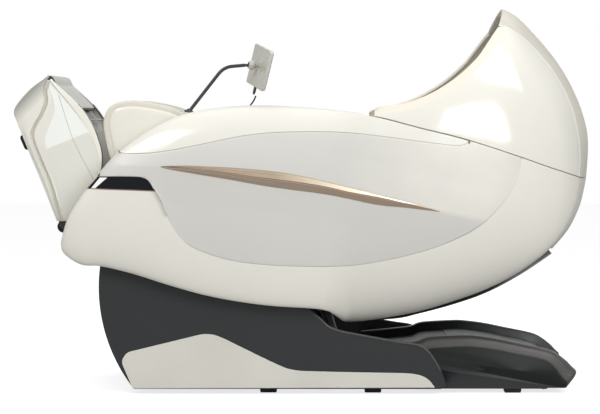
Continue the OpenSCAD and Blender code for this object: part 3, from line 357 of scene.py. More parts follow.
def finishes():
    # edge paints shade on these creams where they are seen edge on
    gloss_plastic("pearl_shell", CREAM, 0.11, 0.0, spec=0.36, edge=0.9)
    gloss_plastic("lower_shell", CREAM, 0.5, 0.0, spec=0.14, edge=0.9)
    # the armrest's painted highlight: paler towards its tail at the head end
    gloss_plastic("pearl_arm_highlight", CREAM, 0.11, 0.0, spec=0.36, edge=0.9, far=tone(251, 250, 244))
    # the hood's greyer centre band; its darker tone is partly painted shade, where the band faces away from
    # the light
    gloss_plastic("pearl_shade", tone(216, 212, 200), 0.2, 0.0, spec=0.3, edge=0.6)
    # the hood rim's turned-in band, matter than the shell, in a darker tone that is painted shade
    gloss_plastic("rim_band_shade", tone(232, 227, 213), 0.45, 0.0, spec=0.3)
    # painted shade in the foot cover's recessed groove
    gloss_plastic("groove_shade", tone(206, 203, 190), 0.3, 0.0, spec=0.3)
    # painted shade on the calf wing's border round its raised inner panel
    gloss_plastic("wing_border_shade", tone(222, 218, 205), 0.3, 0.0, spec=0.3, edge=0.5)
    # near white, for painted highlights and reflections: the badge's slanted streak and the hood's crease
    # line
    gloss_plastic("painted_highlight", tone(252, 252, 252), 0.2)
    gloss_plastic("black_gloss", tone(16, 20, 26), 0.12, 0.0, 0.03, 0.05, 0.14)
    gloss_plastic("roller_plastic", tone(206, 202, 192), 0.35, 0.1, 0.2, 0.1)
    # painted shade on the foot cover's sole band and its upper edge
    foot_paint("foot_shade", CREAM)
    # the foot cover's inner band, with a painted highlight above its facet line
    foot_paint("foot_facet_lit", tone(230, 230, 221), tone(246, 248, 243))
    # the grey panel, with a painted highlight above its fold towards the head end
    panel_paint("grey_panel", tone(212, 211, 205), tone(232, 229, 219))
    satin_plastic("satin_black", tone(42, 44, 45), 0.42, spec=0.25)
    # a paler black for painted highlights on the deck's ridges and the side covers' top edge bead
    satin_plastic("satin_ridge_highlight", tone(66, 65, 63), 0.42, spec=0.25)
    satin_plastic("cream_trim", tone(224, 222, 212), 0.4, 1500, 0.00005)
    satin_plastic("tablet_shell", tone(192, 190, 180), 0.4, 1500, 0.00005)
    satin_plastic("seam", tone(160, 158, 150), 0.6)
    satin_plastic("rubber", tone(24, 24, 25), 0.75, 900, 0.0002, 0.3)
    satin_plastic("dark_plastic", tone(30, 31, 33), 0.38)
    leather("cream_leather", tone(222, 214, 198))
    leather("dark_leather", tone(46, 43, 42))
    leather("grey_leather", tone(178, 178, 173), 0.55)
    mesh_cloth("dark_lining", tone(26, 27, 29))
    mesh_cloth("hood_cloth", tone(208, 204, 195))
    accent_paint("bronze", tone(163, 146, 125), tone(255, 240, 216))
    accent_paint("bronze_low", tone(142, 126, 110), tone(146, 126, 108))
    accent_paint("bronze_line", tone(196, 176, 152), tone(220, 196, 168))
    painted_metal("black_frame", tone(32, 33, 35))
    painted_metal("brown_trim", tone(104, 84, 74), 0.35)
    painted_metal("copper", tone(150, 112, 96), 0.3)
    # the badge rim's top edge, in a pale copper as a painted highlight
    painted_metal("copper_highlight", tone(214, 196, 190), 0.3)
    bare_metal("steel", (0.52, 0.53, 0.55, 1))


def dress(finish, names):
    """CAD nodes that stay, in a finish of this file."""
    for name in names:
        materials = NODES[name].data.materials
        materials.clear()
        materials.append(MATS[finish])


# ---------------- curves
def spline(points, n=20):
    p = np.array(points, float)
    q = np.vstack([p[:1], p, p[-1:]])
    t = np.linspace(0, 1, n, endpoint=False)[:, None]
    runs = [0.5 * (2 * b + (c - a) * t + (2 * a - 5 * b + 4 * c - d) * t * t + (3 * b - a - 3 * c + d) * t**3)
            for a, b, c, d in zip(q[:-3], q[1:-2], q[2:-1], q[3:])]
    return np.vstack(runs + [p[-1:]])


def look(x, line):
    return np.interp(x, line[:, 0], line[:, 1])


def even(line, n):
    """A line resampled to n even steps of its length."""
    line = np.asarray(line, float)
    s = np.concatenate([[0], np.cumsum(np.linalg.norm(np.diff(line, axis=0), axis=1))])
    at = np.linspace(0, s[-1], n + 1)
    return np.stack([np.interp(at, s, line[:, k]) for k in range(line.shape[1])], 1)


def between(line, a, b):
    """The part of a graph over x from a to b."""
    inner = line[(line[:, 0] > a) & (line[:, 0] < b)]
    return np.vstack([[a, look(a, line)], inner, [b, look(b, line)]])


def legs(line, knots, counts):
    """Points along a graph over x, with counts[i] even steps from knots[i] to knots[i + 1]."""
    runs = [even(between(line, a, b), n)[:-1] for a, b, n in zip(knots, knots[1:], counts)]
    return np.vstack(runs + [[[knots[-1], look(knots[-1], line)]]])


def unit(v):
    return v / np.maximum(np.linalg.norm(v, axis=-1, keepdims=True), 1e-9)


def eased(n):
    """n + 1 values from 0 to 1, closer together near both ends."""
    return (1 - np.cos(np.linspace(0, pi, n + 1))) / 2


def crowded(n, power):
    """n values from -1 to 1, closer together near both ends."""
    k = np.linspace(-1, 1, n)
    return np.sign(k) * (1 - (1 - np.abs(k)) ** power)


def leftward(line):
    """Unit normals of a line of the side view."""
    return unit(np.stack([-np.gradient(line[:, 1]), np.gradient(line[:, 0])], 1))


def rounded(points, steps=6):
    """Outline of [x, z, corner radius] with its corners rounded."""
    p = np.array(points, float)
    out = []
    for i in range(len(p)):
        b, r = p[i, :2], p[i, 2]
        a, c = p[i - 1, :2], p[(i + 1) % len(p), :2]
        if r == 0:
            out.append(b)
            continue
        a = b + (a - b) * min(r / np.linalg.norm(a - b), 0.49)
        c = b + (c - b) * min(r / np.linalg.norm(c - b), 0.49)
        for t in np.linspace(0, 1, steps + 1):
            out.append(a * (1 - t) ** 2 + b * 2 * t * (1 - t) + c * t * t)
    return np.array(out)


def inset(outline, d):
    """A clockwise outline moved inwards."""
    u = unit(np.roll(outline, -1, 0) - outline)
    w = unit(outline - np.roll(outline, 1, 0))
    m = unit(np.stack([(u + w)[:, 1], -(u + w)[:, 0]], 1))
    k = np.maximum(np.abs(m[:, 0] * u[:, 1] - m[:, 1] * u[:, 0]), 0.5)
    return outline + m * d / k[:, None]


# ---------------- body skin, as in the part's source
HALF_WIDTH = 402
POWER = 2.4
SEAT_HALF = 262
LINER_T = 5.4
INNER_Y = SEAT_HALF + LINER_T + 0.5
ARM_LINE = spline([[-776, 486], [-745, 585], [-660, 700], [-592, 774], [-494, 845], [-378, 897],
                   [-207, 921], [-6, 917], [185, 897]])
HOOD_TOP = spline([[186, 897], [214, 940], [257, 990], [314, 1050], [371, 1110], [429, 1168], [487, 1212],
                   [560, 1240], [653, 1243], [704, 1213], [749, 1168], [797, 1114], [839, 1060],
                   [881, 988], [917, 903]])
CROWN_RISE = spline([[-6, 918], [40, 918], [90, 920], [130, 929], [170, 947], [214, 969], [257, 990]])
CROWN_LINE = np.vstack([ARM_LINE[ARM_LINE[:, 0] < -10], CROWN_RISE, HOOD_TOP[HOOD_TOP[:, 0] > 258]])
LOW_LINE = spline([[-776, 486], [-765, 452], [-712, 418], [-650, 412], [-551, 389], [-437, 353],
                   [-323, 321], [-209, 299], [-98, 285], [16, 278], [70, 270], [105, 245], [125, 229],
                   [165, 225], [261, 237], [370, 258], [477, 290], [584, 329], [691, 384], [788, 456],
                   [843, 525], [879, 595], [890, 640]])
WIDE_LINE = spline([[-776, 486], [-700, 570], [-500, 655], [-200, 690], [200, 705], [640, 705], [893, 690]])
SEAM_LINE = spline([[180, 897], [251, 883], [372, 851], [486, 823], [600, 788], [694, 757], [771, 730],
                    [890, 692]])
RIM_LINE = spline([[214, 903], [257, 921], [314, 930], [371, 949], [429, 978], [487, 1018], [547, 1073],
                   [577, 1112], [610, 1159], [627, 1181]])
CREASE_LINE = spline([[627, 1181], [660, 1173], [707, 1140], [754, 1096], [800, 1041], [842, 974],
                      [871, 904], [888, 828], [893, 764], [890, 694]])
BACK_LINE = spline([[653, 1243], [673, 1234], [704, 1213], [749, 1168], [797, 1114], [841, 1056],
                    [881, 988], [917, 903], [937, 810], [931, 686]])
BELLY_LINE = spline([[130, 224], [292, 229], [373, 246], [482, 275], [590, 313], [698, 370], [806, 441]])
BELLY_EDGE = spline([[130, 229], [261, 237], [370, 258], [477, 290], [584, 329], [691, 384], [788, 456]])
TAIL_LINE = spline([[806, 441], [869, 513], [906, 585], [922, 640], [931, 682]])
TAIL_EDGE = spline([[788, 456], [843, 525], [879, 595], [890, 640], [890, 690]])
PANEL_TOP = spline([[-592, 773], [-520, 771], [-454, 777], [-388, 788], [-299, 806], [-206, 825],
                    [-107, 837], [-6, 840], [105, 839], [226, 828], [347, 812], [468, 797], [505, 800],
                    [527, 812]])
PANEL_LOW = spline([[-469, 652], [-448, 615], [-429, 562], [-397, 511], [-357, 476], [-282, 446],
                    [-206, 428], [-107, 418], [-6, 414], [143, 415], [256, 432], [342, 452], [427, 478],
                    [512, 517], [569, 554], [614, 597], [654, 648], [679, 699], [691, 757]])
BADGE_LOW = np.array([[-690, 660], [-469, 652]], float)
BADGE_TOP = np.vstack([[[-690, 662]], spline([[-655, 699], [-590, 699.5], [-530, 698.5], [-510, 695.5],
                                                [-494, 687], [-483, 675], [-469, 654]])])
BLADE_TOP = spline([[-455, 731], [-357, 732], [-206, 724], [-56, 708], [105, 673], [226, 643],
                    [348, 613], [430, 588]])
BLADE_LOW = spline([[-455, 729], [-407, 718], [-256, 693], [-107, 667], [80, 641], [226, 611],
                    [322, 601], [430, 587]])
NOSE_IN = spline([[-776, 38], [-768, 26], [-740, 14], [-680, 5], [-500, 0], [300, 0]])
CROWN_Y = spline([[-776, 363], [-640, 363], [-560, 338], [-480, 330], [185, 330], [257, 295], [371, 160],
                  [429, 90], [500, 0], [893, 0]])
LOW_Y = spline([[-776, 363], [-600, 363], [0, 363], [70, 350], [130, 262], [200, 232], [700, 228],
                [788, 222], [843, 205], [879, 185], [890, 178]])
TAIL_FROM, TAIL_TO = 300, 940


def eased_line(line, width, first):
    """A graph over x with its corners after first rounded off over about width."""
    step, reach, blend = 4.0, 30, 60
    x = np.arange(line[0, 0], line[-1, 0] + 1, step)
    z = look(x, line)
    pull = np.exp(-0.5 * (np.arange(-reach, reach + 1) * step / width) ** 2)
    soft = np.convolve(np.pad(z, reach, mode="edge"), pull / pull.sum(), "valid")
    k = np.clip((x - first) / blend, 0, 1) * np.clip((line[-1, 0] - x) / blend, 0, 1)
    return np.stack([x, z * (1 - k) + soft * k], 1)


CROWN_Y = eased_line(CROWN_Y, 34, 175)
CROWN_LINE = eased_line(CROWN_LINE, 20, 200)
FOLD_RISE = 5.0
FOLD_REACH = 110.0
FOLD_LINE = np.array([[-700, 738], [-597, 735], [-457, 730], [-206, 712], [-56, 692], [105, 660],
                      [226, 630], [430, 588], [563, 552], [640, 526]], float)


def bow(r):
    """The quarter superellipse: 1 at 0, 0 at 1."""
    return (1 - np.clip(r, 0, 1) ** POWER) ** (1 / POWER)


def skin_y(x, z):
    """Distance of the body's skin from the middle plane."""
    zw = look(x, WIDE_LINE)
    w = np.where(x < TAIL_FROM, HALF_WIDTH - look(x, NOSE_IN),
                 HALF_WIDTH * bow(np.minimum((x - TAIL_FROM) / (TAIL_TO - TAIL_FROM), 0.99)))
    top = np.minimum(look(x, CROWN_Y), w - 1)
    low = np.minimum(look(x, LOW_Y), w - 1)
    up = top + (w - top) * bow((z - zw) / np.maximum(look(x, CROWN_LINE) - zw, 1))
    down = low + (w - low) * bow((zw - z) / np.maximum(zw - look(x, LOW_LINE), 1))
    return np.where(z >= zw, up, down)


def on_skin(q):
    """(..., 2) points of the side view put on the skin, on the -Y side."""
    return np.stack([q[..., 0], -skin_y(q[..., 0], q[..., 1]), q[..., 1]], -1)


def normals(g):
    return unit(np.cross(np.gradient(g, axis=0), np.gradient(g, axis=1)))


def sunk(g, d):
    return g - d * normals(g)


def ruled(low, high, ts, gap=0.0):
    """A grid between two lines with as many points, held back by gap at both."""
    u = unit(high - low) * gap
    a, b = low + u, high - u
    return a[:, None] * (1 - ts[None, :, None]) + b[:, None] * ts[None, :, None]


def patch(low, high, front, rear):
    n, m = len(low) - 1, len(front) - 1
    s = np.linspace(0, 1, n + 1)[:, None, None]
    t = np.linspace(0, 1, m + 1)[None, :, None]
    corners = (low[0] * (1 - t) + high[0] * t) * (1 - s) + (low[-1] * (1 - t) + high[-1] * t) * s
    return low[:, None] * (1 - t) + high[:, None] * t + front[None] * (1 - s) + rear[None] * s - corners


def arch(edge, middle, ts, power):
    """An arch across the middle between an edge (x, y, z) and a middle line (x, z)."""
    k = np.abs(ts[None, :]) ** power
    x = middle[:, :1] + (edge[:, :1] - middle[:, :1]) * k
    z = middle[:, 1:] + (edge[:, 2:] - middle[:, 1:]) * k
    return np.stack([x, -edge[:, 1:2] * ts[None, :], z], -1)


def rolled(g, r=3.0, depth=12.0, sides="iIjJ", arc=4):
    """A grid with edges rounded by r and flanges turned in, at the sides i, I (ends) and j, J (rows)."""
    n = normals(g)
    angles = np.linspace(0, pi / 2, arc + 1)
    out = np.append(r * np.sin(angles), r)
    down = np.append(r * (1 - np.cos(angles)), r + depth)
    k = len(out) - 1

    def tangents(e, along):
        a = unit(along)
        return unit(e - (e * a).sum(-1, keepdims=True) * a)

    di, dj = np.gradient(g, axis=0), np.gradient(g, axis=1)
    ti, tj = np.zeros_like(g), np.zeros_like(g)
    ti[0], ti[-1] = tangents(g[0] - g[1], dj[0]), tangents(g[-1] - g[-2], dj[-1])
    tj[:, 0] = tangents(g[:, 0] - g[:, 1], di[:, 0])
    tj[:, -1] = tangents(g[:, -1] - g[:, -2], di[:, -1])

    def index(size, first, last):
        p = np.arange(-k if first in sides else 0, size + (k if last in sides else 0))
        return np.clip(p, 0, size - 1), np.where(p < 0, -p, np.where(p >= size, p - size + 1, 0))

    i, ki = index(g.shape[0], "i", "I")
    j, kj = index(g.shape[1], "j", "J")
    pick = np.ix_(i, j)
    drop = np.maximum(down[ki][:, None], down[kj][None, :])[..., None]
    return g[pick] + out[ki][:, None, None] * ti[pick] + out[kj][None, :, None] * tj[pick] - drop * n[pick]


# ---------------- meshes
def quads(n, m):
    a = np.arange(n * m).reshape(n, m)
    return np.stack([a[:-1, :-1], a[1:, :-1], a[1:, 1:], a[:-1, 1:]], -1).reshape(-1, 4).tolist()


def ring_faces(rows, sides):
    """Quads between rows of points that each go once round."""
    return [[i + k, i + (k + 1) % sides, i + sides + (k + 1) % sides, i + sides + k]
            for i in range(0, (rows - 1) * sides, sides) for k in range(sides)]


def skin(g, mat=0):
    """A part from a grid of points. A part is its points, its faces and its material's number."""
    return g.reshape(-1, 3), quads(*g.shape[:2]), mat


def split(part, second):
    """A part in two: the faces that second marks get material 1, the others material 0."""
    v, f, _ = part
    return [(v, [q for q, s in zip(f, second) if bool(s) == bool(k)], k) for k in (0, 1)]


def mirrored(part):
    v, f, mat = part
    return v * [1, -1, 1], [list(reversed(q)) for q in f], mat


def both(*parts):
    return [p for part in parts for p in (part, mirrored(part))]


def slab(outline, y0, y1, mat=0):
    """An [x, z] outline as a solid between two distances along Y."""
    p = np.asarray(outline, float)
    n = len(p)
    area = np.sum(p[:, 0] * np.roll(p[:, 1], -1) - np.roll(p[:, 0], -1) * p[:, 1])
    if area > 0:
        p = p[::-1]
    v = np.vstack([np.c_[p[:, 0], np.full(n, y0), p[:, 1]], np.c_[p[:, 0], np.full(n, y1), p[:, 1]]])
    f = [list(range(n))[::-1], list(range(n, 2 * n))]
    f += [[i, (i + 1) % n, n + (i + 1) % n, n + i] for i in range(n)]
    return v, f, mat


def tube(path, r, sides=14, mat=0):
    """A round bar with closed ends; r may be a radius for each point of the path."""
    p = np.asarray(path, float)
    radii = np.broadcast_to(np.asarray(r, float), len(p))
    t = unit(np.gradient(p, axis=0))
    a = unit(np.cross(t[0], [0.13, 0.21, 0.97] if abs(t[0][2]) < 0.9 else [0.97, 0.2, 0.1]))
    ring = np.linspace(0, 2 * pi, sides, endpoint=False)
    rows = []
    for i in range(len(p)):
        a = unit(a - (a @ t[i]) * t[i])
        b = np.cross(t[i], a)
        rows.append(p[i] + radii[i] * (np.cos(ring)[:, None] * a + np.sin(ring)[:, None] * b))
    v = np.vstack(rows)
    return v, ring_faces(len(p), sides) + [list(range(sides))[::-1], list(range(len(v) - sides, len(v)))], mat


def lathe(profile, at, axis, sides=48):
    """A turned form: profile is (radius, distance along the axis)."""
    axis = unit(np.array(axis, float))
    a = unit(np.cross(axis, [0, 0, 1] if abs(axis[2]) < 0.9 else [1, 0, 0]))
    b = np.cross(axis, a)
    ring = np.linspace(0, 2 * pi, sides, endpoint=False)
    turn = np.cos(ring)[:, None] * a + np.sin(ring)[:, None] * b
    v = np.vstack([np.array(at, float) + axis * h + turn * max(r, 1e-3) for r, h in profile])
    return v, ring_faces(len(profile), sides), 0


def weld(mesh, degenerate=False):
    bm = bmesh.new()
    bm.from_mesh(mesh)
    bmesh.ops.remove_doubles(bm, verts=bm.verts, dist=1e-5)
    if degenerate:
        bmesh.ops.dissolve_degenerate(bm, edges=bm.edges, dist=1e-6)
    bm.to_mesh(mesh)
    bm.free()


def moved(part, matrix):
    v, f, mat = part
    m = np.array(matrix)
    return v @ m[:3, :3].T + m[:3, 3], f, mat


def piece(name, parts, body, slot, mats=None, nodes=(), solid=0.0, bevel=0.0, smooth=38, levels=0,
          segments=3):
    """One object from parts, which rides on body and takes the place of CAD nodes."""
    verts, faces, index = [], [], []
    start = 0
    for v, f, mat in parts:
        verts.append(v)
        faces += [[i + start for i in q] for q in f]
        index += [mat] * len(f)
        start += len(v)
    mesh = bpy.data.meshes.new(name)
    mesh.from_pydata((np.vstack(verts) * MM).tolist(), [], faces)
    for m in mats or [slot]:
        mesh.materials.append(MATS[m])
    mesh.polygons.foreach_set("material_index", index)
    weld(mesh, True)
    mesh.shade_smooth()
    mesh.set_sharp_from_angle(angle=radians(smooth))
    obj = placed(name, mesh)
    if solid:
        m = obj.modifiers.new("wall", "SOLIDIFY")
        m.thickness, m.offset = solid * MM, -1
    if bevel:
        m = obj.modifiers.new("edges", "BEVEL")
        m.width, m.segments, m.limit_method, m.angle_limit = bevel * MM, segments, "ANGLE", radians(40)
        m.harden_normals = True
    if levels:
        m = obj.modifiers.new("smooth", "SUBSURF")
        m.levels = m.render_levels = levels
    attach(obj, body)
    if nodes:
        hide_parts(*nodes)
    return obj


# ---------------- cord
def along(at, angle, flip=False):
    """Frame whose X rises at an angle in the XZ plane from [x, z], in mm."""
    m = Matrix.Translation((at[0], 0, at[1])) @ Matrix.Rotation(radians(-angle), 4, "Y")
    return m @ Matrix.Diagonal((1, 1, -1, 1)) if flip else m


ON_SEAT = along([-12, 440], 148, True)
ON_BACK = along([60, 462], 27)
ON_LEG = along([-520, 760], 203.3, True)
TABLET_AT, TABLET_TURN, BALL_AT = (-143.5, -280, 1046), (9, 11.6, 17.3), (-170, -288, 1052)
ON_TABLET = Matrix.Translation(TABLET_AT) @ Euler([radians(a) for a in TABLET_TURN]).to_matrix().to_4x4()
SIDEWAYS = ON_TABLET @ Matrix.Rotation(radians(90), 4, "Z")
CABLE_D = 5.0
CABLE_PATH = [[-157.5, -281.5, 954], [-160, -282, 947], [-164, -284, 939], [-169, -287, 931],
              [-173, -290, 926], [-174.2, -291.5, 922.4]]


def tablet_lead():
    path = even(spline(CABLE_PATH, 12), 24)
    lead = piece("tablet_lead", [tube(path, CABLE_D / 2, 14)], "seat", "rubber", nodes=["tablet_cable"])
    lead.parent = None
    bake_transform(lead)


# ---------------- body panels
SEAM = 1.5          # dark line under the hood's seam
FINE = 1.1          # gap at a panel's edge, and the radius of that edge
PANEL_WALL = 2


def side_shell():
    top = np.vstack([between(ARM_LINE, -776, -690), BADGE_LOW, PANEL_LOW[1:],
                     between(SEAM_LINE, 692, 890) - [0, SEAM]])
    knots_top = [-774, -690, -469, -440, -357, -107, 143, 427, 614, 691, 889]
    knots_low = [-774, -722, -600, -540, -420, -140, 143, 470, 690, 770, 889]
    counts = [16, 26, 10, 16, 30, 26, 28, 24, 20, 26]
    g = ruled(legs(LOW_LINE, knots_low, counts), legs(top, knots_top, counts), eased(56), FINE)
    return rolled(on_skin(g), FINE, 9)


def folded(q):
    """Outward rise of the grey panel's fold, at points of the side view."""
    d = np.abs(q[..., 1] - look(q[..., 0], FOLD_LINE))
    ends = np.clip((q[..., 0] + 640) / 60, 0, 1) * np.clip((640 - q[..., 0]) / 120, 0, 1)
    return FOLD_RISE * np.clip(1 - d / FOLD_REACH, 0, 1) * ends


def side_panel():
    low = np.vstack([between(BADGE_TOP, -650, -469), PANEL_LOW[1:]])
    top = np.vstack([between(ARM_LINE, -650, -592), PANEL_TOP[1:-1],
                     between(SEAM_LINE, 527, 691) - [0, SEAM]])
    knots_low = [-648, -600, -469, -440, -357, -107, 143, 427, 614, 688]
    knots_top = [-648, -600, -560, -520, -440, -107, 143, 400, 560, 688]
    counts = [8, 16, 12, 18, 32, 28, 30, 26, 18]
    g = ruled(legs(low, knots_low, counts) + [0, 0.8], legs(top, knots_top, counts),
              np.linspace(0, 1, 61), FINE)
    surface = on_skin(g)
    surface[..., 1] -= folded(g)
    return rolled(surface, FINE, 9)


def arm_cover():
    low = PANEL_TOP + [0, 0.8]
    top = np.vstack([between(ARM_LINE, -592, 182), between(SEAM_LINE, 183, 527) - [0, SEAM]])
    knots = [-590, -494, -206, 172, 200, 420, 522]
    counts = [16, 34, 40, 6, 26, 14]
    g = ruled(legs(low, knots, counts), legs(top, knots, counts), eased(30), FINE)
    surface = on_skin(g)
    rows = []
    for row in surface:
        x, y, z = row[-1]
        lip = spline([[y, z], [-300, z + 2], [-INNER_Y - 6, z - 3], [-INNER_Y, z - 12],
                      [-INNER_Y, z - 30]], 6)
        flange = np.stack([y + np.linspace(0, 12, len(lip)), z - np.linspace(0, 8, len(lip)) ** 2 / 8], 1)
        k = np.clip((x - 168) / 30, 0, 1)
        edge = lip * (1 - k) + flange * k
        rows.append(np.c_[np.full(len(edge), x), edge][1:])
    return rolled(np.concatenate([surface, np.array(rows)], 1), FINE, 9, "iIj")


HOOD_FROM = 222


def hood_grid(n=150, m=84):
    low = even(between(SEAM_LINE, HOOD_FROM, 890) + [0, SEAM + FINE], n)
    rim = between(RIM_LINE, HOOD_FROM, 627)
    high = even(np.vstack([rim, CREASE_LINE[(CREASE_LINE[:, 1] > 1040) & (CREASE_LINE[:, 0] > 628)]]), n)
    t = eased(m)[:, None]
    front = low[0] * (1 - t) + high[0] * t
    rear_line = CREASE_LINE[(CREASE_LINE[:, 1] > 700) & (CREASE_LINE[:, 1] < 1040)][::-1]
    rear = even(np.vstack([low[-1:], rear_line, high[-1:]]), m)
    return patch(low, high, front, rear)


HOOD_RIM = even(between(RIM_LINE, HOOD_FROM, 627), 160)
RIM_BAND = 25.0
RIM_FALL = 4.0


def rim_gap(q):
    """Distance of points of the side view from the hood's rim."""
    return np.min(np.linalg.norm(q[..., None, :] - HOOD_RIM, axis=-1), -1)


def hood_side():
    q = hood_grid()
    surface = on_skin(q)
    surface = surface - normals(surface) * (RIM_FALL * np.clip(1 - rim_gap(q) / RIM_BAND, 0, 1))[..., None]
    return rolled(surface, 1.6, 18)


ACROSS = crowded(61, 1.6)


def edge_on_skin(line, gap):
    return on_skin(line) + [0, gap, 0]


def edge_on_low(line, gap):
    return np.c_[line[:, 0], -look(line[:, 0], LOW_Y) + gap, line[:, 1]]


def hood_arch(gap=1.0):
    return arch(edge_on_skin(even(CREASE_LINE, 110), gap), even(BACK_LINE, 110), ACROSS, 2.4)


def body():
    hood = skin(hood_side())
    middles = hood[0][np.array(hood[1])].mean(1)[:, [0, 2]]
    covers = [("shell_", "side_shell_", [skin(side_shell())], "seat", "pearl_shell", ["lower_shell"]),
              ("panel_", "side_panel_", [skin(side_panel())], "seat", "grey_panel", None),
              ("armrest_", "armrest_cover_", [skin(arm_cover())], "seat", "pearl_shell", ["pearl_arm_highlight"]),
              ("hood_", "hood_side_", split(hood, rim_gap(middles) < RIM_BAND), "back", "pearl_shell",
               ["pearl_shell", "rim_band_shade"])]
    for side in ("left", "right"):
        for name, node, parts, rides, slot, mats in covers:
            turned = parts if side == "left" else [mirrored(p) for p in parts]
            piece(name + side, turned, rides, slot, mats, nodes=[node + side], solid=PANEL_WALL)
    # A raised bead along the crease; its near-white colour is a painted highlight.
    crease = even(edge_on_skin(CREASE_LINE, 1.4), 90)
    piece("hood_centre", [skin(rolled(hood_arch(), 1.6, 16, "iI"))] + both(tube(crease, 1.3, 8, 1)), "back",
          "pearl_shell", ["pearl_shade", "painted_highlight"], nodes=["hood_band"], solid=PANEL_WALL)
    lining = both(skin(sunk(on_skin(hood_grid(70, 40)), 19))) + [skin(sunk(hood_arch(), 19))]
    piece("hood_lining", lining, "back", "dark_lining", ["hood_cloth"], nodes=["hood_liner"], solid=3)
    belly = arch(edge_on_low(even(BELLY_EDGE, 60), 1.6), even(BELLY_LINE, 60) - [0, 3], -ACROSS, 8)
    piece("belly", [skin(rolled(belly, 1.2, 5, "iI"))], "seat", "satin_black", nodes=["belly_cover"],
          solid=PANEL_WALL)
    tail = arch(edge_on_low(even(TAIL_EDGE, 60)[3:], 1.2), even(TAIL_LINE, 60)[3:], -ACROSS, 2.5)
    piece("tail", [skin(rolled(tail, 1.2, 8, "iI"))], "seat", "pearl_shell", ["lower_shell"],
          nodes=["tail_cover"], solid=PANEL_WALL)


BLADE_MID = spline([[-455, 730.5], [-325, 721], [-241, 712], [-168, 700], [-96, 691], [-15, 681], [65, 668],
                    [146, 650], [226, 636], [307, 618], [371, 605], [430, 587.5]])
BLADE_RIDGE, BLADE_HIGH, BLADE_LIP, BLADE_DOWN = 6.5, 1.6, 0.2, 0.4    # lifts of the accent's lines
BLADE_BASE = 0.6
BLADE_FULL = 24      # the blade is narrower than this near its tips, and flatter there
# A painted reflection: the slanted white streak on the black badge runs between these lines.
SLASH_LOW = np.array([[-676, 661.5], [-663, 661.5]])
SLASH_HIGH = np.array([[-648, 695.5], [-624, 695.5]])


def on_blade(q, lift):
    """Points of the side view put on the accent, lift above the panel where the blade is wide enough."""
    g = on_skin(q)
    wide = np.clip((look(q[..., 0], BLADE_TOP) - look(q[..., 0], BLADE_LOW)) / BLADE_FULL, 0.1, 1)
    g[..., 1] -= folded(q) + BLADE_BASE + lift * wide
    return g


def facet_strip(low, high, lift_low, lift_high, xs, steps=5, mat=0):
    """A strip of the accent between two lines."""
    t = np.linspace(0, 1, steps)
    a, b = look(xs, low), look(xs, high)
    q = np.stack([np.repeat(xs[:, None], steps, 1), a[:, None] + (b - a)[:, None] * t], -1)
    return skin(on_blade(q, lift_low + (lift_high - lift_low) * t), mat)


def accent():
    xs = np.concatenate([np.linspace(-454, -430, 8), np.linspace(-420, 400, 120), np.linspace(404, 428, 10)])
    parts = [facet_strip(BLADE_MID, BLADE_TOP, BLADE_RIDGE, BLADE_HIGH, xs),
             facet_strip(BLADE_LOW, BLADE_MID, BLADE_DOWN, BLADE_RIDGE, xs, mat=1),
             facet_strip(BLADE_TOP, BLADE_TOP + [0, 0.9], BLADE_HIGH, BLADE_LIP, xs, 2, 3)]
    for k, until in ((0.3, 46), (0.62, 60), (0.001, 122), (-0.45, 56), (-0.14, 126)):
        x = xs[3:until]
        edge, lift, mat = (BLADE_TOP, BLADE_HIGH, 3) if k > 0 else (BLADE_LOW, BLADE_DOWN, 2)
        z = look(x, BLADE_MID) * (1 - abs(k)) + look(x, edge) * abs(k)
        line = on_blade(np.stack([x, z], -1), BLADE_RIDGE + (lift - BLADE_RIDGE) * abs(k))
        parts.append(tube(line, np.linspace(0.75, 0.3, len(line)), 6, mat))
    piece("accent", both(*parts), "seat", "bronze", ["bronze", "bronze_low", "bronze_line", "brown_trim"],
          nodes=["accent_blades"], smooth=16)


def badge():
    counts = [14, 40, 10, 12]
    knots = [-687, -655, -514, -494, -472]
    low = legs(BADGE_LOW, knots, counts) + [0, 3]
    plate = on_skin(ruled(low, legs(BADGE_TOP, knots, counts), np.linspace(0, 1, 17), 1.0))
    # the slash is a painted reflection across the black badge
    t = np.linspace(0, 1, 9)[:, None]
    below, over = (on_skin(line[0] + (line[1] - line[0]) * t) for line in (SLASH_LOW, SLASH_HIGH))
    slash = below[:, None] * (1 - t) + over[:, None] * t
    slash[..., 1] = -skin_y(slash[..., 0], slash[..., 2]) - 0.5
    piece("badge", both(skin(rolled(plate, 1.0, 6)), skin(slash, 1)), "seat", "black_gloss",
          ["black_gloss", "painted_highlight"], nodes=["badge_plates"])
    rim = on_skin(even(BADGE_LOW, 60) + [0, 1.5]) + [0, -0.6, 0]
    # The upper rim is paler: a painted highlight along the badge's top edge.
    over = on_skin(legs(BADGE_TOP, [-688, -655, -514, -494, -469], counts) + [0, 0.2]) + [0, -0.5, 0]
    front = on_skin(even([[-687.5, 661], [-656, 697]], 20)) + [0, -0.5, 0]
    piece("badge_rims", both(tube(rim, 0.9, 8), tube(over, 0.7, 8, 1), tube(front, 0.8, 8)), "seat",
          "bronze", ["copper", "copper_highlight"], nodes=["badge_frames"])


def noses():
    low = LOW_LINE[LOW_LINE[:, 0] < -672][::-1]
    high = ARM_LINE[(ARM_LINE[:, 0] > -776) & (ARM_LINE[:, 0] < -592)]
    path = even(np.vstack([low, high]), 90)
    edge = np.minimum(look(path[:, 0], CROWN_Y), HALF_WIDTH) - 1.5
    k = np.linspace(0, 1, 13)
    y = -edge[:, None] * (1 - k) - INNER_Y * k
    n = leftward(path)
    puff = 2.5 * np.sin(pi * k)
    g = np.stack([path[:, None, 0] + n[:, None, 0] * puff, y, path[:, None, 1] + n[:, None, 1] * puff], -1)
    piece("noses", both(skin(rolled(g, 1.2, 5, "iI"))), "seat", "pearl_shell", nodes=["nose_caps"],
          solid=PANEL_WALL)


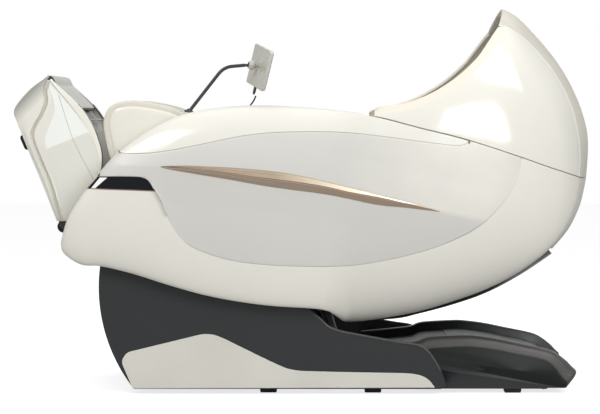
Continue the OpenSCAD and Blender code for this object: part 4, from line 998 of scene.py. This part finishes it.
# ---------------- legs
LEG_AT, LEG_ANGLE = (-520, 760), radians(23.3)


def leg_frame_of(points):
    """(u, w) points of the leg rest's frame in the row's [x, z]."""
    u, w = np.moveaxis(np.asarray(points, float), -1, 0)
    c, s = cos(LEG_ANGLE), sin(LEG_ANGLE)
    return np.stack([LEG_AT[0] - c * u - s * w, LEG_AT[1] - s * u + c * w], -1)


WING = rounded([[80, 152, 20], [50, 188, 24], [8, 196, 30], [-45, 178, 60], [-95, 146, 60], [-152, 106, 40],
                [-180, 64, 14], [-140, 6, 60], [-70, -50, 40], [30, -66, 30], [96, -52, 16], [105, 20, 30],
                [97, 84, 30]])[::-1]
WING_RIM = ((0, 0), (0.3, 1.8), (1.2, 3.2), (2.8, 4), (10, 4.6), (18, 4.4), (20, 5.6), (23, 7.6), (26, 8.4),
            (40, 9))      # inset and height of its rows
BORDER_ROWS = 7      # rows of WING_RIM up to its border
CALF_FLOOR = [[-64, -56], [-58, -66], [82, -56], [92, -54], [-64, -54]]
LEG_HALF = 238
FOOT_IN = LEG_HALF - 8.4
FOOT_YS = crowded(41, 1.5) * (LEG_HALF - 4)


def uw(v, y):
    """Points (u, w) of the leg frame at distance y, as (x, y, z)."""
    q = leg_frame_of(v)
    return np.stack([q[..., 0], np.broadcast_to(y, q[..., 0].shape), q[..., 1]], -1)


def calf():
    face, back = -(LEG_HALF - 4), -(LEG_HALF - 8)
    outline = even(np.vstack([WING, WING[:1]]), 150)[:-1]
    rows = [uw(outline, back)] + [uw(inset(outline, d), face - h) for d, h in WING_RIM]
    n = len(outline)
    v = np.vstack(rows)
    faces = [q[:1] + q[:0:-1] for q in ring_faces(len(rows), n)]
    v = np.vstack([v, v[-n:].mean(0)])
    faces += [[len(v) - 1, (len(rows) - 1) * n + (k + 1) % n, (len(rows) - 1) * n + k] for k in range(n)]
    border = BORDER_ROWS * n
    wing = both((v, faces[:border], 1), (v, faces[border:], 0), slab(leg_frame_of(WING), face, back))
    piece("calf_wings", wing + [slab(leg_frame_of(CALF_FLOOR), back, -back)], "leg", "pearl_shell",
          ["pearl_shell", "wing_border_shade"], nodes=["calf_shell"], smooth=30)


FOOT_LINES = {
    "sole": [[-825, 1014], [-849, 1002], [-895, 965], [-937, 909], [-926, 866], [-906, 813], [-877, 742],
             [-841, 654], [-802, 552]],
    "groove": [[-829, 1006], [-838, 973], [-836, 935], [-849, 898], [-874, 853], [-880, 818], [-856, 752],
               [-822, 668], [-790, 551]],
    "crease": [[-826, 1005], [-822, 973], [-811, 939], [-809, 898], [-833, 836], [-838, 799], [-824, 741],
               [-800, 660], [-779, 551]],
    "ridge": [[-824, 1006], [-804, 980], [-780, 951], [-748, 910], [-712, 862], [-685, 812], [-669, 747],
              [-692, 640], [-768, 552]],
    "instep": [[-821, 1009], [-799, 988], [-771, 962], [-735, 927], [-700, 880], [-673, 822], [-658, 747],
               [-680, 634], [-761, 554]],
}
FACET = np.array([[-880, 765], [-833, 783], [-795, 799], [-755, 815], [-701, 840], [-640, 862]], float)
SEAM_ON_FOOT = [[-795, 957], [-772, 883], [-750, 817], [-720, 754], [-687, 691], [-674, 655]]


def foot_surface():
    """The foot unit's side as a grid over its five lines, with its outward relief."""
    sole, groove, crease, ridge, instep = (spline(FOOT_LINES[k], 10) for k in FOOT_LINES)
    near, far = groove - [7, 0], groove + [7, 0]
    n = len(sole)
    ends = bow(1 - np.clip(np.minimum(np.arange(n), n - 1 - np.arange(n)) / 9, 0, 1))
    columns = [(sole, near, t, 9 * (1 - (1 - t) ** 2.4)) for t in (0, 0.06, 0.14, 0.26, 0.42, 0.6, 0.8, 1)]
    columns += [(near, far, t, h) for t, h in ((0.2, 3.4), (0.34, 2.4), (0.7, 2.6), (0.86, 5.0))]
    columns += [(far, crease, t, 9.4 + 2.6 * t) for t in (0, 0.1, 0.5, 0.9, 1)]
    columns += [(crease, ridge, t, 12 - 1.5 * t) for t in np.linspace(0, 1, 14)[1:]]
    columns += [(ridge, instep, t, 10.5 - 3.0 * t) for t in (0.12, 0.4, 0.7, 1)]
    q = np.stack([a * (1 - t) + b * t for a, b, t, _ in columns], 1)
    d = q[..., 1] - look(q[..., 0], FACET)
    tilt = np.where(d > 0, -0.045 * d, 0.03 * d)
    inner = np.array([1.0 if a is crease or b is crease and t > 0.2 else 0.25 for a, b, t, _ in columns])
    h = np.maximum(np.array([h for *_, h in columns]) + tilt * inner, 1) * ends[:, None]
    return np.stack([q[..., 0], -(LEG_HALF - 3) - h, q[..., 1]], -1)


# Material 4 carries painted shade on the sole band, 2 painted shade in the groove, 3 a painted highlight
# above the facet line.
FACE_COLUMNS = {4: range(13), 2: range(13, 16), 3: range(21, 34)}     # by material; 0 takes the rest
PEAK = [[-843, 1009], [-834, 1015.5], [-826, 1019.5], [-819, 1020.5], [-811, 1015], [-804, 1002]]


def foot_cover():
    g = foot_surface()
    whole = rolled(g, 2.5, 9, "IjJ")
    v, f, _ = skin(whole)
    width = whole.shape[1] - 1
    columns = {**FACE_COLUMNS, 0: set(range(width)).difference(*FACE_COLUMNS.values())}
    parts = [(v, [q for k, q in enumerate(f) if k % width in span], mat) for mat, span in columns.items()]
    line = even(SEAM_ON_FOOT, 40)
    y = [g.reshape(-1, 3)[np.argmin(np.hypot(g[..., 0] - x, g[..., 2] - z)), 1] + 0.25 for x, z in line]
    thread = tube(np.c_[line[:, 0], y, line[:, 1]], 0.75, 6, 1)
    mats = ["lower_shell", "seam", "groove_shade", "foot_facet_lit", "foot_shade"]
    piece("foot_covers", both(*parts, thread), "foot", "pearl_shell", mats, nodes=["foot_sides"], smooth=26)


def across_foot(line, out):
    """A sheet across the foot unit from a line of the side view, moved out along the line's normals."""
    q = line[:, None] + leftward(line)[:, None] * out[..., None]
    y = np.broadcast_to(FOOT_YS, q.shape[:2])
    return np.stack([q[..., 0], y, q[..., 1]], -1)


def foot_sheets():
    """The moulding over the toes and the back of the foot unit, which cover the solid foot shell."""
    line = even(np.vstack([spline(PEAK, 5), spline(FOOT_LINES["instep"], 10)[10:33]]), 60)
    puff = 5 * np.sin(np.linspace(0, pi, len(line)))[:, None] ** 2 * (1 - (FOOT_YS / LEG_HALF) ** 4)
    toe = across_foot(line, puff) - [1.5, 0, 0.5]
    piece("toe_cover", [skin(rolled(toe, 3, 10, "I"))], "foot", "cream_leather", ["grey_leather"],
          solid=PANEL_WALL)
    line = even(np.vstack([[[-840, 1008]], spline(FOOT_LINES["sole"], 10)[12:-3]]), 90)
    sheet = across_foot(line, np.full((len(line), len(FOOT_YS)), -2.5))[:, ::-1]
    piece("foot_back", [skin(rolled(sheet, 2, 6, "I"))], "foot", "pearl_shell", ["lower_shell"],
          solid=PANEL_WALL)


HEEL_BORE = 6.2


def feet():
    foot_cover()
    foot_sheets()
    instep = spline(FOOT_LINES["instep"], 10)[30:72]
    side = np.c_[instep[:, 0] + 2.2, np.full(len(instep), -LEG_HALF + 5.5), instep[:, 1] + 0.5]
    k = np.linspace(-1, 1, 60)
    across = np.c_[np.full(60, instep[10, 0] + 1), k * (LEG_HALF - 12), np.full(60, instep[10, 1] - 4)]
    piece("foot_edge_trim", both(tube(side, 2.6, 8)) + [tube(across, 3, 8)], "foot", "bronze",
          ["brown_trim"], nodes=["foot_trim"])
    outline = [[333, 168, 0], [347, 170, 5], [350, 176, 5], [350, 212, 5], [347, 219, 4], [333, 221, 0]]
    bumper = slab(leg_frame_of(rounded(outline)), -200, -130)
    ribs = [slab(leg_frame_of([[349, w], [351, w], [351, w + 3], [349, w + 3]]), -196, -134)
            for w in (180, 190, 200, 208)]
    piece("bumpers", both(bumper, *ribs), "foot", "rubber", nodes=["foot_bumpers"], bevel=1.5)
    x, z = leg_frame_of([334, -106])
    profile = [(HEEL_BORE, 0), (17, 0), (19, 1), (20, 3)]
    for y in (20, 45, 92, 118):
        profile += [(20, y), (19, y + 2), (20, y + 4)]
    profile += [(20, 139), (19, 141), (17, 142), (HEEL_BORE, 142)]
    piece("heel_rolls", both(lathe(profile, (x, 70, z), (0, 1, 0))), "heel_rollers", "rubber",
          nodes=["heel_rollers"])


# ---------------- base
TILT = np.array([-134.0, 340.0])
FRONT_R = 525
BASE_FLOOR = 17


def on_arc(a, r):
    return [TILT[0] - r * cos(radians(a)), TILT[1] + r * sin(radians(a))]


COVER = np.array([on_arc(-38 + i * 45.9 / 24, FRONT_R) for i in range(25)] + [
    [-560, 425], [-400, 440], [-134, 450], [-40, 375], [16, 272], [51, 245], [76, 221], [112, 206],
    [171, 194], [254, 179], [312, 169], [360, 162], [385, 150], [408, 126], [433, 84], [449, 42], [451, 28],
    [436, BASE_FLOOR]])
TRIM = rounded([[-551, 19, 4], [-588, 106, 16], [-570, 134, 14], [-325, 194, 14], [-285, 192, 40],
                [-98, 100, 60], [-41, 76, 40], [112, 72, 40], [348, 68, 40], [392, 54, 30], [417, 22, 5]])
DECK_TOP = spline([[190, 145], [300, 155], [362, 163], [400, 176], [493, 182], [541, 182], [614, 173],
                   [688, 158], [762, 143], [803, 130], [840, 104], [861, 83], [876, 66], [864, 44],
                   [842, BASE_FLOOR]], 8)
VALLEY_DEEP = 30
# Half of the deck's section: distance from the middle plane, and depth under its highest line.
DECK_YS = np.array([-300, -299.2, -297, -294, -290, -286, -270, -250, -242, -238, -234, -228,
                    *np.linspace(-200, 0, 6)])
DECK_DROP = np.array([34, 28, 22, 15.5, 9.5, 5.5, 0.6, 0, 1.5, 6, 24, *[VALLEY_DEEP] * 7])
# Deck columns next to each ridge, painted with a highlight
RIDGE_HIGHLIGHT_COLUMNS = 7
FOOT_XS = (-117, 219, 669)
# Distances from the middle plane.
FRONT_HALF, SIDE_IN, HIGHLIGHT_BEAD_Y, SIDE_OUT, TRIM_OUT = 326.4, 327, 329.8, 332, 338.5
LID_HALF, LID_FROM, LID_TO, LID_T = 214, 465, 795, 3
HIGHLIGHT_BEAD_R = 5


def deck_in(d):
    top = DECK_TOP.copy()
    top[:, 0] -= d * np.clip((top[:, 0] - 760) / 90, 0, 1)
    top[:, 1] -= d
    top[:, 1] = np.maximum(top[:, 1], BASE_FLOOR)
    return top


def base():
    smooth_top = np.vstack([COVER[:30], spline(COVER[30:-1], 5), COVER[-1:]])
    x, z = smooth_top.T
    # A bead along each side cover's top edge, in a paler black as a painted highlight.
    edge = even(smooth_top[(x > -30) & (x < 446) & (z > 60)], 70)
    edge = np.insert(edge - 4 * leftward(edge), 1, -HIGHLIGHT_BEAD_Y, axis=1)
    highlight_bead = tube(edge, np.r_[0.5, 3, np.full(len(edge) - 4, HIGHLIGHT_BEAD_R), 3, 0.5], 12, 1)
    piece("base_sides", both(slab(smooth_top, -SIDE_OUT, -SIDE_IN), highlight_bead), "base", "satin_black",
          ["satin_black", "satin_ridge_highlight"], nodes=["base_side_covers"], bevel=4.6, segments=4)
    piece("base_side_trims", both(slab(TRIM, -TRIM_OUT, -SIDE_OUT)), "base", "cream_trim",
          nodes=["base_trims"], bevel=3, segments=4)
    front = [on_arc(a, FRONT_R) for a in np.linspace(-37.6, 5, 60)]
    front += [on_arc(a, FRONT_R - 5) for a in np.linspace(5, -37.6, 60)]
    piece("base_front", [slab(front, -FRONT_HALF, FRONT_HALF)], "base", "satin_black",
          nodes=["base_front_cover"], bevel=1.2)

    ys, drop = np.r_[DECK_YS, -DECK_YS[-2::-1]], np.r_[DECK_DROP, DECK_DROP[-2::-1]]
    deck = np.stack([np.insert(deck_in(d), 1, y, axis=1) for y, d in zip(ys, drop)], 1)
    faces = skin(deck)
    last = deck.shape[1] - 2
    ridge = [min(k % (last + 1), last - k % (last + 1)) < RIDGE_HIGHLIGHT_COLUMNS for k in range(len(faces[1]))]
    side = slab(np.vstack([deck_in(DECK_DROP[0]), [[190, BASE_FLOOR]]]), DECK_YS[0], DECK_YS[0] + 3)
    piece("deck", split(faces, ridge) + both(side), "base", "satin_black", ["satin_black", "satin_ridge_highlight"],
          nodes=["base_deck_cover"], solid=4)
    top = deck_in(VALLEY_DEEP - LID_T)
    top = top[(top[:, 0] > LID_FROM) & (top[:, 0] < LID_TO)]
    lid = slab(np.vstack([top, top[::-1] - [0, LID_T]]), -LID_HALF, LID_HALF)
    piece("deck_hatch", [lid], "base", "satin_black",
          nodes=["deck_lid"], bevel=1.2)
    pads = [slab(rounded([[x - 28, 13, 2], [x + 28, 13, 2], [x + 26, 0, 3], [x - 26, 0, 3]], 3), -290, -250)
            for x in FOOT_XS]
    piece("base_pads", both(*pads), "base", "rubber", nodes=["base_feet"], bevel=1.5)


# ---------------- tablet
STALK = np.array([[-371, -300, 903], [-259, -297, 1046], [-192, -290, 1052]], float)
TABLET_SIZE, TABLET_T, TABLET_CORNER = (206, 130), 14, 9


def turned_arc(r, angles):
    """Profile of a ball for lathe, over angles from its bottom."""
    return [(r * sin(radians(a)), -r * cos(radians(a))) for a in angles]


def stalk():
    low, bend, end = STALK
    a, b = bend + (low - bend) * 0.16, bend + (end - bend) * 0.4
    t = np.linspace(0, 1, 12)[:, None]
    curve = a * (1 - t) ** 2 + bend * 2 * t * (1 - t) + b * t * t
    path = np.vstack([even([low, a], 12)[:-1], curve, even([b, end], 6)[1:]])
    collar = [(4, -2), (15, -2), (15, 3), (13.5, 5), (8, 6), (7, 9), (5.6, 10)]
    collar = lathe(collar, low, (0.16, 0, 0.99), 32)
    ball = lathe(turned_arc(11, range(0, 181, 12)), BALL_AT, (0, 0, 1), 28)
    piece("tablet_stalk", [tube(path, 5.5, 20), collar, tube([end, BALL_AT], 4.6, 16), ball],
          "seat", "dark_plastic", nodes=["tablet_arm"])


def tablet():
    stalk()
    flip = ON_TABLET @ Matrix.Rotation(radians(-90), 4, "Z")
    (w, h), t, r = TABLET_SIZE, TABLET_T, TABLET_CORNER
    outline = np.array([[x * (w / 2 - r) + r * cos(radians(a)), z * (h / 2 - r) + r * sin(radians(a))]
                        for x, z, a0 in ((1, 1, 0), (-1, 1, 90), (-1, -1, 180), (1, -1, 270))
                        for a in range(a0, a0 + 91, 15)])
    case = moved(slab(outline, -t / 2, t / 2 - 1.6), flip)
    stem = moved(lathe([(9, 0), (8, 2), (8, 17), (10, 19)], (-23, 0, 5), (1, 0, 0), 24), ON_TABLET)
    cup = lathe(turned_arc(15, range(40, 181, 10)), BALL_AT, np.subtract(TABLET_AT, BALL_AT), 28)
    piece("tablet_body", [case, stem, cup], "tablet", "cream_trim", ["tablet_shell"],
          nodes=["tablet_case"], bevel=2.5)
    glass = moved(slab(outline * [(w - 6) / w, (h - 6) / h], t / 2 - 1.9, t / 2 - 0.2), flip)
    piece("tablet_glass", [glass], "tablet", "black_gloss", nodes=["tablet_screen"], bevel=0.6)
    plug = slab([[-6, -64], [6, -64], [6, -80], [4.5, -83], [-4.5, -83], [-6, -80]], -3.5, 3.5)
    relief = moved(lathe([(4.4, 0), (4.4, 2), (3.6, 3), (4.1, 4), (3.4, 5), (3.8, 6), (3.1, 7), (3.2, 9)],
                         (0, 0, -81), (0, 0, -1), 20), ON_TABLET)
    piece("tablet_plug_body", [moved(plug, SIDEWAYS), relief], "tablet", "dark_plastic",
          nodes=["tablet_plug"], bevel=0.8)


# ---------------- cushions
CHANNEL_WIDE = 0.09
CROWN_POWER = 7
PLAN_DRAW = 0.012


def crown_of(a, p):
    return (1 - np.minimum(np.abs(a), 1) ** p) ** (1 / p)


def channel(a, at):
    """Sewn channels: 1 at the places at, 0 away from them."""
    return np.max([np.clip(1 - np.abs(a - c) / CHANNEL_WIDE, 0, 1) ** 2 for c in at], axis=0)


def pad(plan, top, nx=60, ny=50):
    """A padded form on a flat underside: closed, with more points near its edges."""
    us, vs = -np.cos(np.linspace(0, pi, nx + 1)), -np.cos(np.linspace(0, pi, ny + 1))
    a, b = np.meshgrid(us, vs, indexing="ij")
    x, y = plan(a, b)
    z = top(a, b) * crown_of(a, CROWN_POWER) * crown_of(b, CROWN_POWER)
    upper, lower = (np.stack([x, y, h], -1).reshape(-1, 3) for h in (z, np.zeros_like(z)))
    faces = quads(nx + 1, ny + 1)
    return np.vstack([upper, lower]), faces + [[i + len(upper) for i in q[::-1]] for q in faces], 0


def rect(l, w):
    """Plan of a cushion whose sides pull in a little between its corners."""
    return lambda a, b: (l / 2 * a * (1 - PLAN_DRAW * (1 - b * b)), w / 2 * b * (1 - PLAN_DRAW * (1 - a * a)))


SIM_FRAMES = 20
PRESSURE = 4.0
VOXEL = 5.5
SHRINK = (0.98, 0.98, 0.94)


def points_of(mesh):
    co = np.zeros(len(mesh.vertices) * 3)
    mesh.vertices.foreach_get("co", co)
    return co.reshape(-1, 3)


def puffed(obj, cap):
    """The closed mesh swells under pressure as sewn cloth; no point moves further than cap, in metres."""
    m = obj.modifiers.new("remesh", "REMESH")
    m.mode, m.voxel_size = "VOXEL", VOXEL * MM
    apply_all(obj)
    rest = points_of(obj.data)
    m = obj.modifiers.new("cloth", "CLOTH")
    m.settings.use_pressure = True
    m.settings.uniform_pressure_force = PRESSURE
    m.settings.effector_weights.gravity = 0
    m.settings.quality = 5
    m.settings.mass = 0.3
    scene = bpy.context.scene
    for f in range(1, SIM_FRAMES + 1):
        scene.frame_set(f)
    swollen = obj.evaluated_get(bpy.context.evaluated_depsgraph_get())
    d = points_of(swollen.to_mesh()) - rest
    swollen.to_mesh_clear()
    obj.modifiers.remove(m)
    scene.frame_set(1)
    d *= np.minimum(1, cap / np.maximum(np.linalg.norm(d, axis=1, keepdims=True), 1e-9))
    obj.data.vertices.foreach_set("co", (rest + d).ravel())
    obj.data.update()


def apply_all(obj):
    deps = bpy.context.evaluated_depsgraph_get()
    bpy.context.view_layer.update()
    baked, old = bpy.data.meshes.new_from_object(obj.evaluated_get(deps)), obj.data
    obj.modifiers.clear()
    obj.data = baked
    baked.name = obj.name
    bpy.data.meshes.remove(old)


def cushion(name, part, place, body, slot, node, cap=10, pair=False):
    """A stuffed piece: it starts smaller than its form, swells and is smoothed. All have one fill."""
    v, f, _ = part
    mesh = bpy.data.meshes.new(name)
    centre = (v.max(0) + v.min(0)) / 2 * [1, 1, 0]
    mesh.from_pydata((((v - centre) * SHRINK + centre) * MM).tolist(), [], f)
    obj = placed(name, mesh)
    weld(mesh)
    puffed(obj, cap * MM)
    co = np.clip(points_of(obj.data) / MM, v.min(0) + [-3, -3, 0.4], v.max(0) + [3, 3, 6])
    stuffed = moved((co, [list(p.vertices) for p in obj.data.polygons], 0), place)
    bpy.data.objects.remove(obj)
    parts = both(stuffed) if pair else [stuffed]
    final = piece(name, parts, body, slot, mats=[slot, "dark_leather"], nodes=[node], smooth=60, levels=1)


WING_TOP = np.array([[-176, 66], [-150, 104], [-95, 143], [-40, 176], [10, 194], [52, 184], [80, 150]], float)
FOOT_WELL = np.array([[-80, 250], [-30, 185], [25, 148], [80, 132], [135, 128], [176, 132], [220, 142],
                      [290, 168], [340, 200]], float)


def well(b):
    """Two leg wells across a cushion, with walls between and beside them."""
    return np.interp(np.abs(b), [0, 0.1, 0.28, 0.5, 0.72, 0.88, 1], [0.62, 0.6, 0.1, 0, 0.12, 0.92, 1])


SEAT_T, BACK_T = 88, 95


def soft_goods():
    """The cushions; a and b run from -1 to 1 along and across each."""
    seat = pad(rect(470, 480), lambda a, b: SEAT_T * (0.93 + 0.07 * (1 - b * b))
               - 7 * channel(a, [-0.34, 0.34]) + 8 * np.clip(np.abs(b) - 0.6, 0, 1))
    cushion("seat_pad", seat, ON_SEAT @ Matrix.Translation((235, 0, 0.3 - SEAT_T)), "seat", "cream_leather",
            "seat_cushion", cap=12)
    back = pad(rect(760, 440), lambda a, b: BACK_T * (0.95 + 0.05 * (1 - a * a))
               - 8 * channel(a, [-0.5, -0.1, 0.3]) + 10 * np.clip(np.abs(b) - 0.62, 0, 1))
    cushion("back_pad", back, ON_BACK @ Matrix.Translation((330, 0, 17 - BACK_T)), "back", "cream_leather",
            "back_cushion", cap=12)
    pillow = pad(rect(170, 300), lambda a, b: 46 + 16 * np.abs(b) - 3 * channel(b, [0]), 40, 50)
    cushion("pillow", pillow, ON_BACK @ Matrix.Translation((600, 0, 16.3)), "back", "cream_leather",
            "head_pillow")
    arm = pad(rect(450, 150), lambda a, b: 22 - 4 * channel(a, [-0.33, 0.33]), 60, 30)
    place = Matrix.Translation((-95, -SEAT_HALF + 0.3, 742)) @ Matrix.Rotation(radians(-90), 4, "X")
    cushion("armrest_pads", arm, place, "seat", "cream_leather", "arm_pads", cap=6, pair=True)
    shoulder = pad(lambda a, b: (187.5 * a, 229 + (b + 1) / 2 * (104 - 10 * (a + 1) / 2)),
                   lambda a, b: 162 + 25 * b - 8 * channel(a, [-0.33, 0.33]), 50, 36)
    cushion("shoulder_wings", shoulder, ON_BACK @ Matrix.Translation((357.5, 0, 17 - BACK_T)), "back",
            "cream_leather", "shoulder_pads", cap=8, pair=True)
    calf_pad = pad(rect(246, 459.2), lambda a, b: 14 + (look(-35 + a * 123, WING_TOP) - 56) * well(b), 44, 90)
    cushion("calf_pad", calf_pad, ON_LEG @ Matrix.Translation((-35, 0, 30)), "leg", "dark_leather",
            "calf_cushion", cap=6)
    toe = lambda a: np.interp(a, [-1, -0.8, -0.6, 0.5, 0.75, 1], [0.6, 0.15, 0, 0, 0.8, 1])
    foot_pad = pad(rect(376, 2 * (FOOT_IN - 0.4)), lambda a, b: 18 + (272 - look(118 + 188 * a, FOOT_WELL))
                   * np.maximum(well(b), toe(a)), 60, 90)
    place = ON_LEG @ Matrix.Translation((296, 0, 118)) @ Matrix.Rotation(radians(-90), 4, "Y")
    cushion("foot_pad", foot_pad, place, "foot", "dark_leather", "foot_cushion", cap=6)


# ---------------- build
finishes()
stage()
tablet()
tablet_lead()
body()
accent()
badge()
noses()
calf()
feet()
base()
soft_goods()
for finish, names in {
    "black_frame": ["base_frame", "seat_frame", "back_frame", "leg_frame"],
    "steel": ["wheel_axle", "tilt_axle", "tilt_rod", "control_box"],
    "dark_plastic": ["power_panel", "air_pump", "tilt_motor", "seat_pan", "hood_speakers", "massage_carriage",
                     "foot_shell", "heel_axle"],
    "roller_plastic": ["massage_arms", "sole_rollers"],
    "rubber": ["transport_wheels"],
    "black_gloss": ["power_switch"],
    "cream_trim": ["shell_liners"],
}.items():
    dress(finish, names)
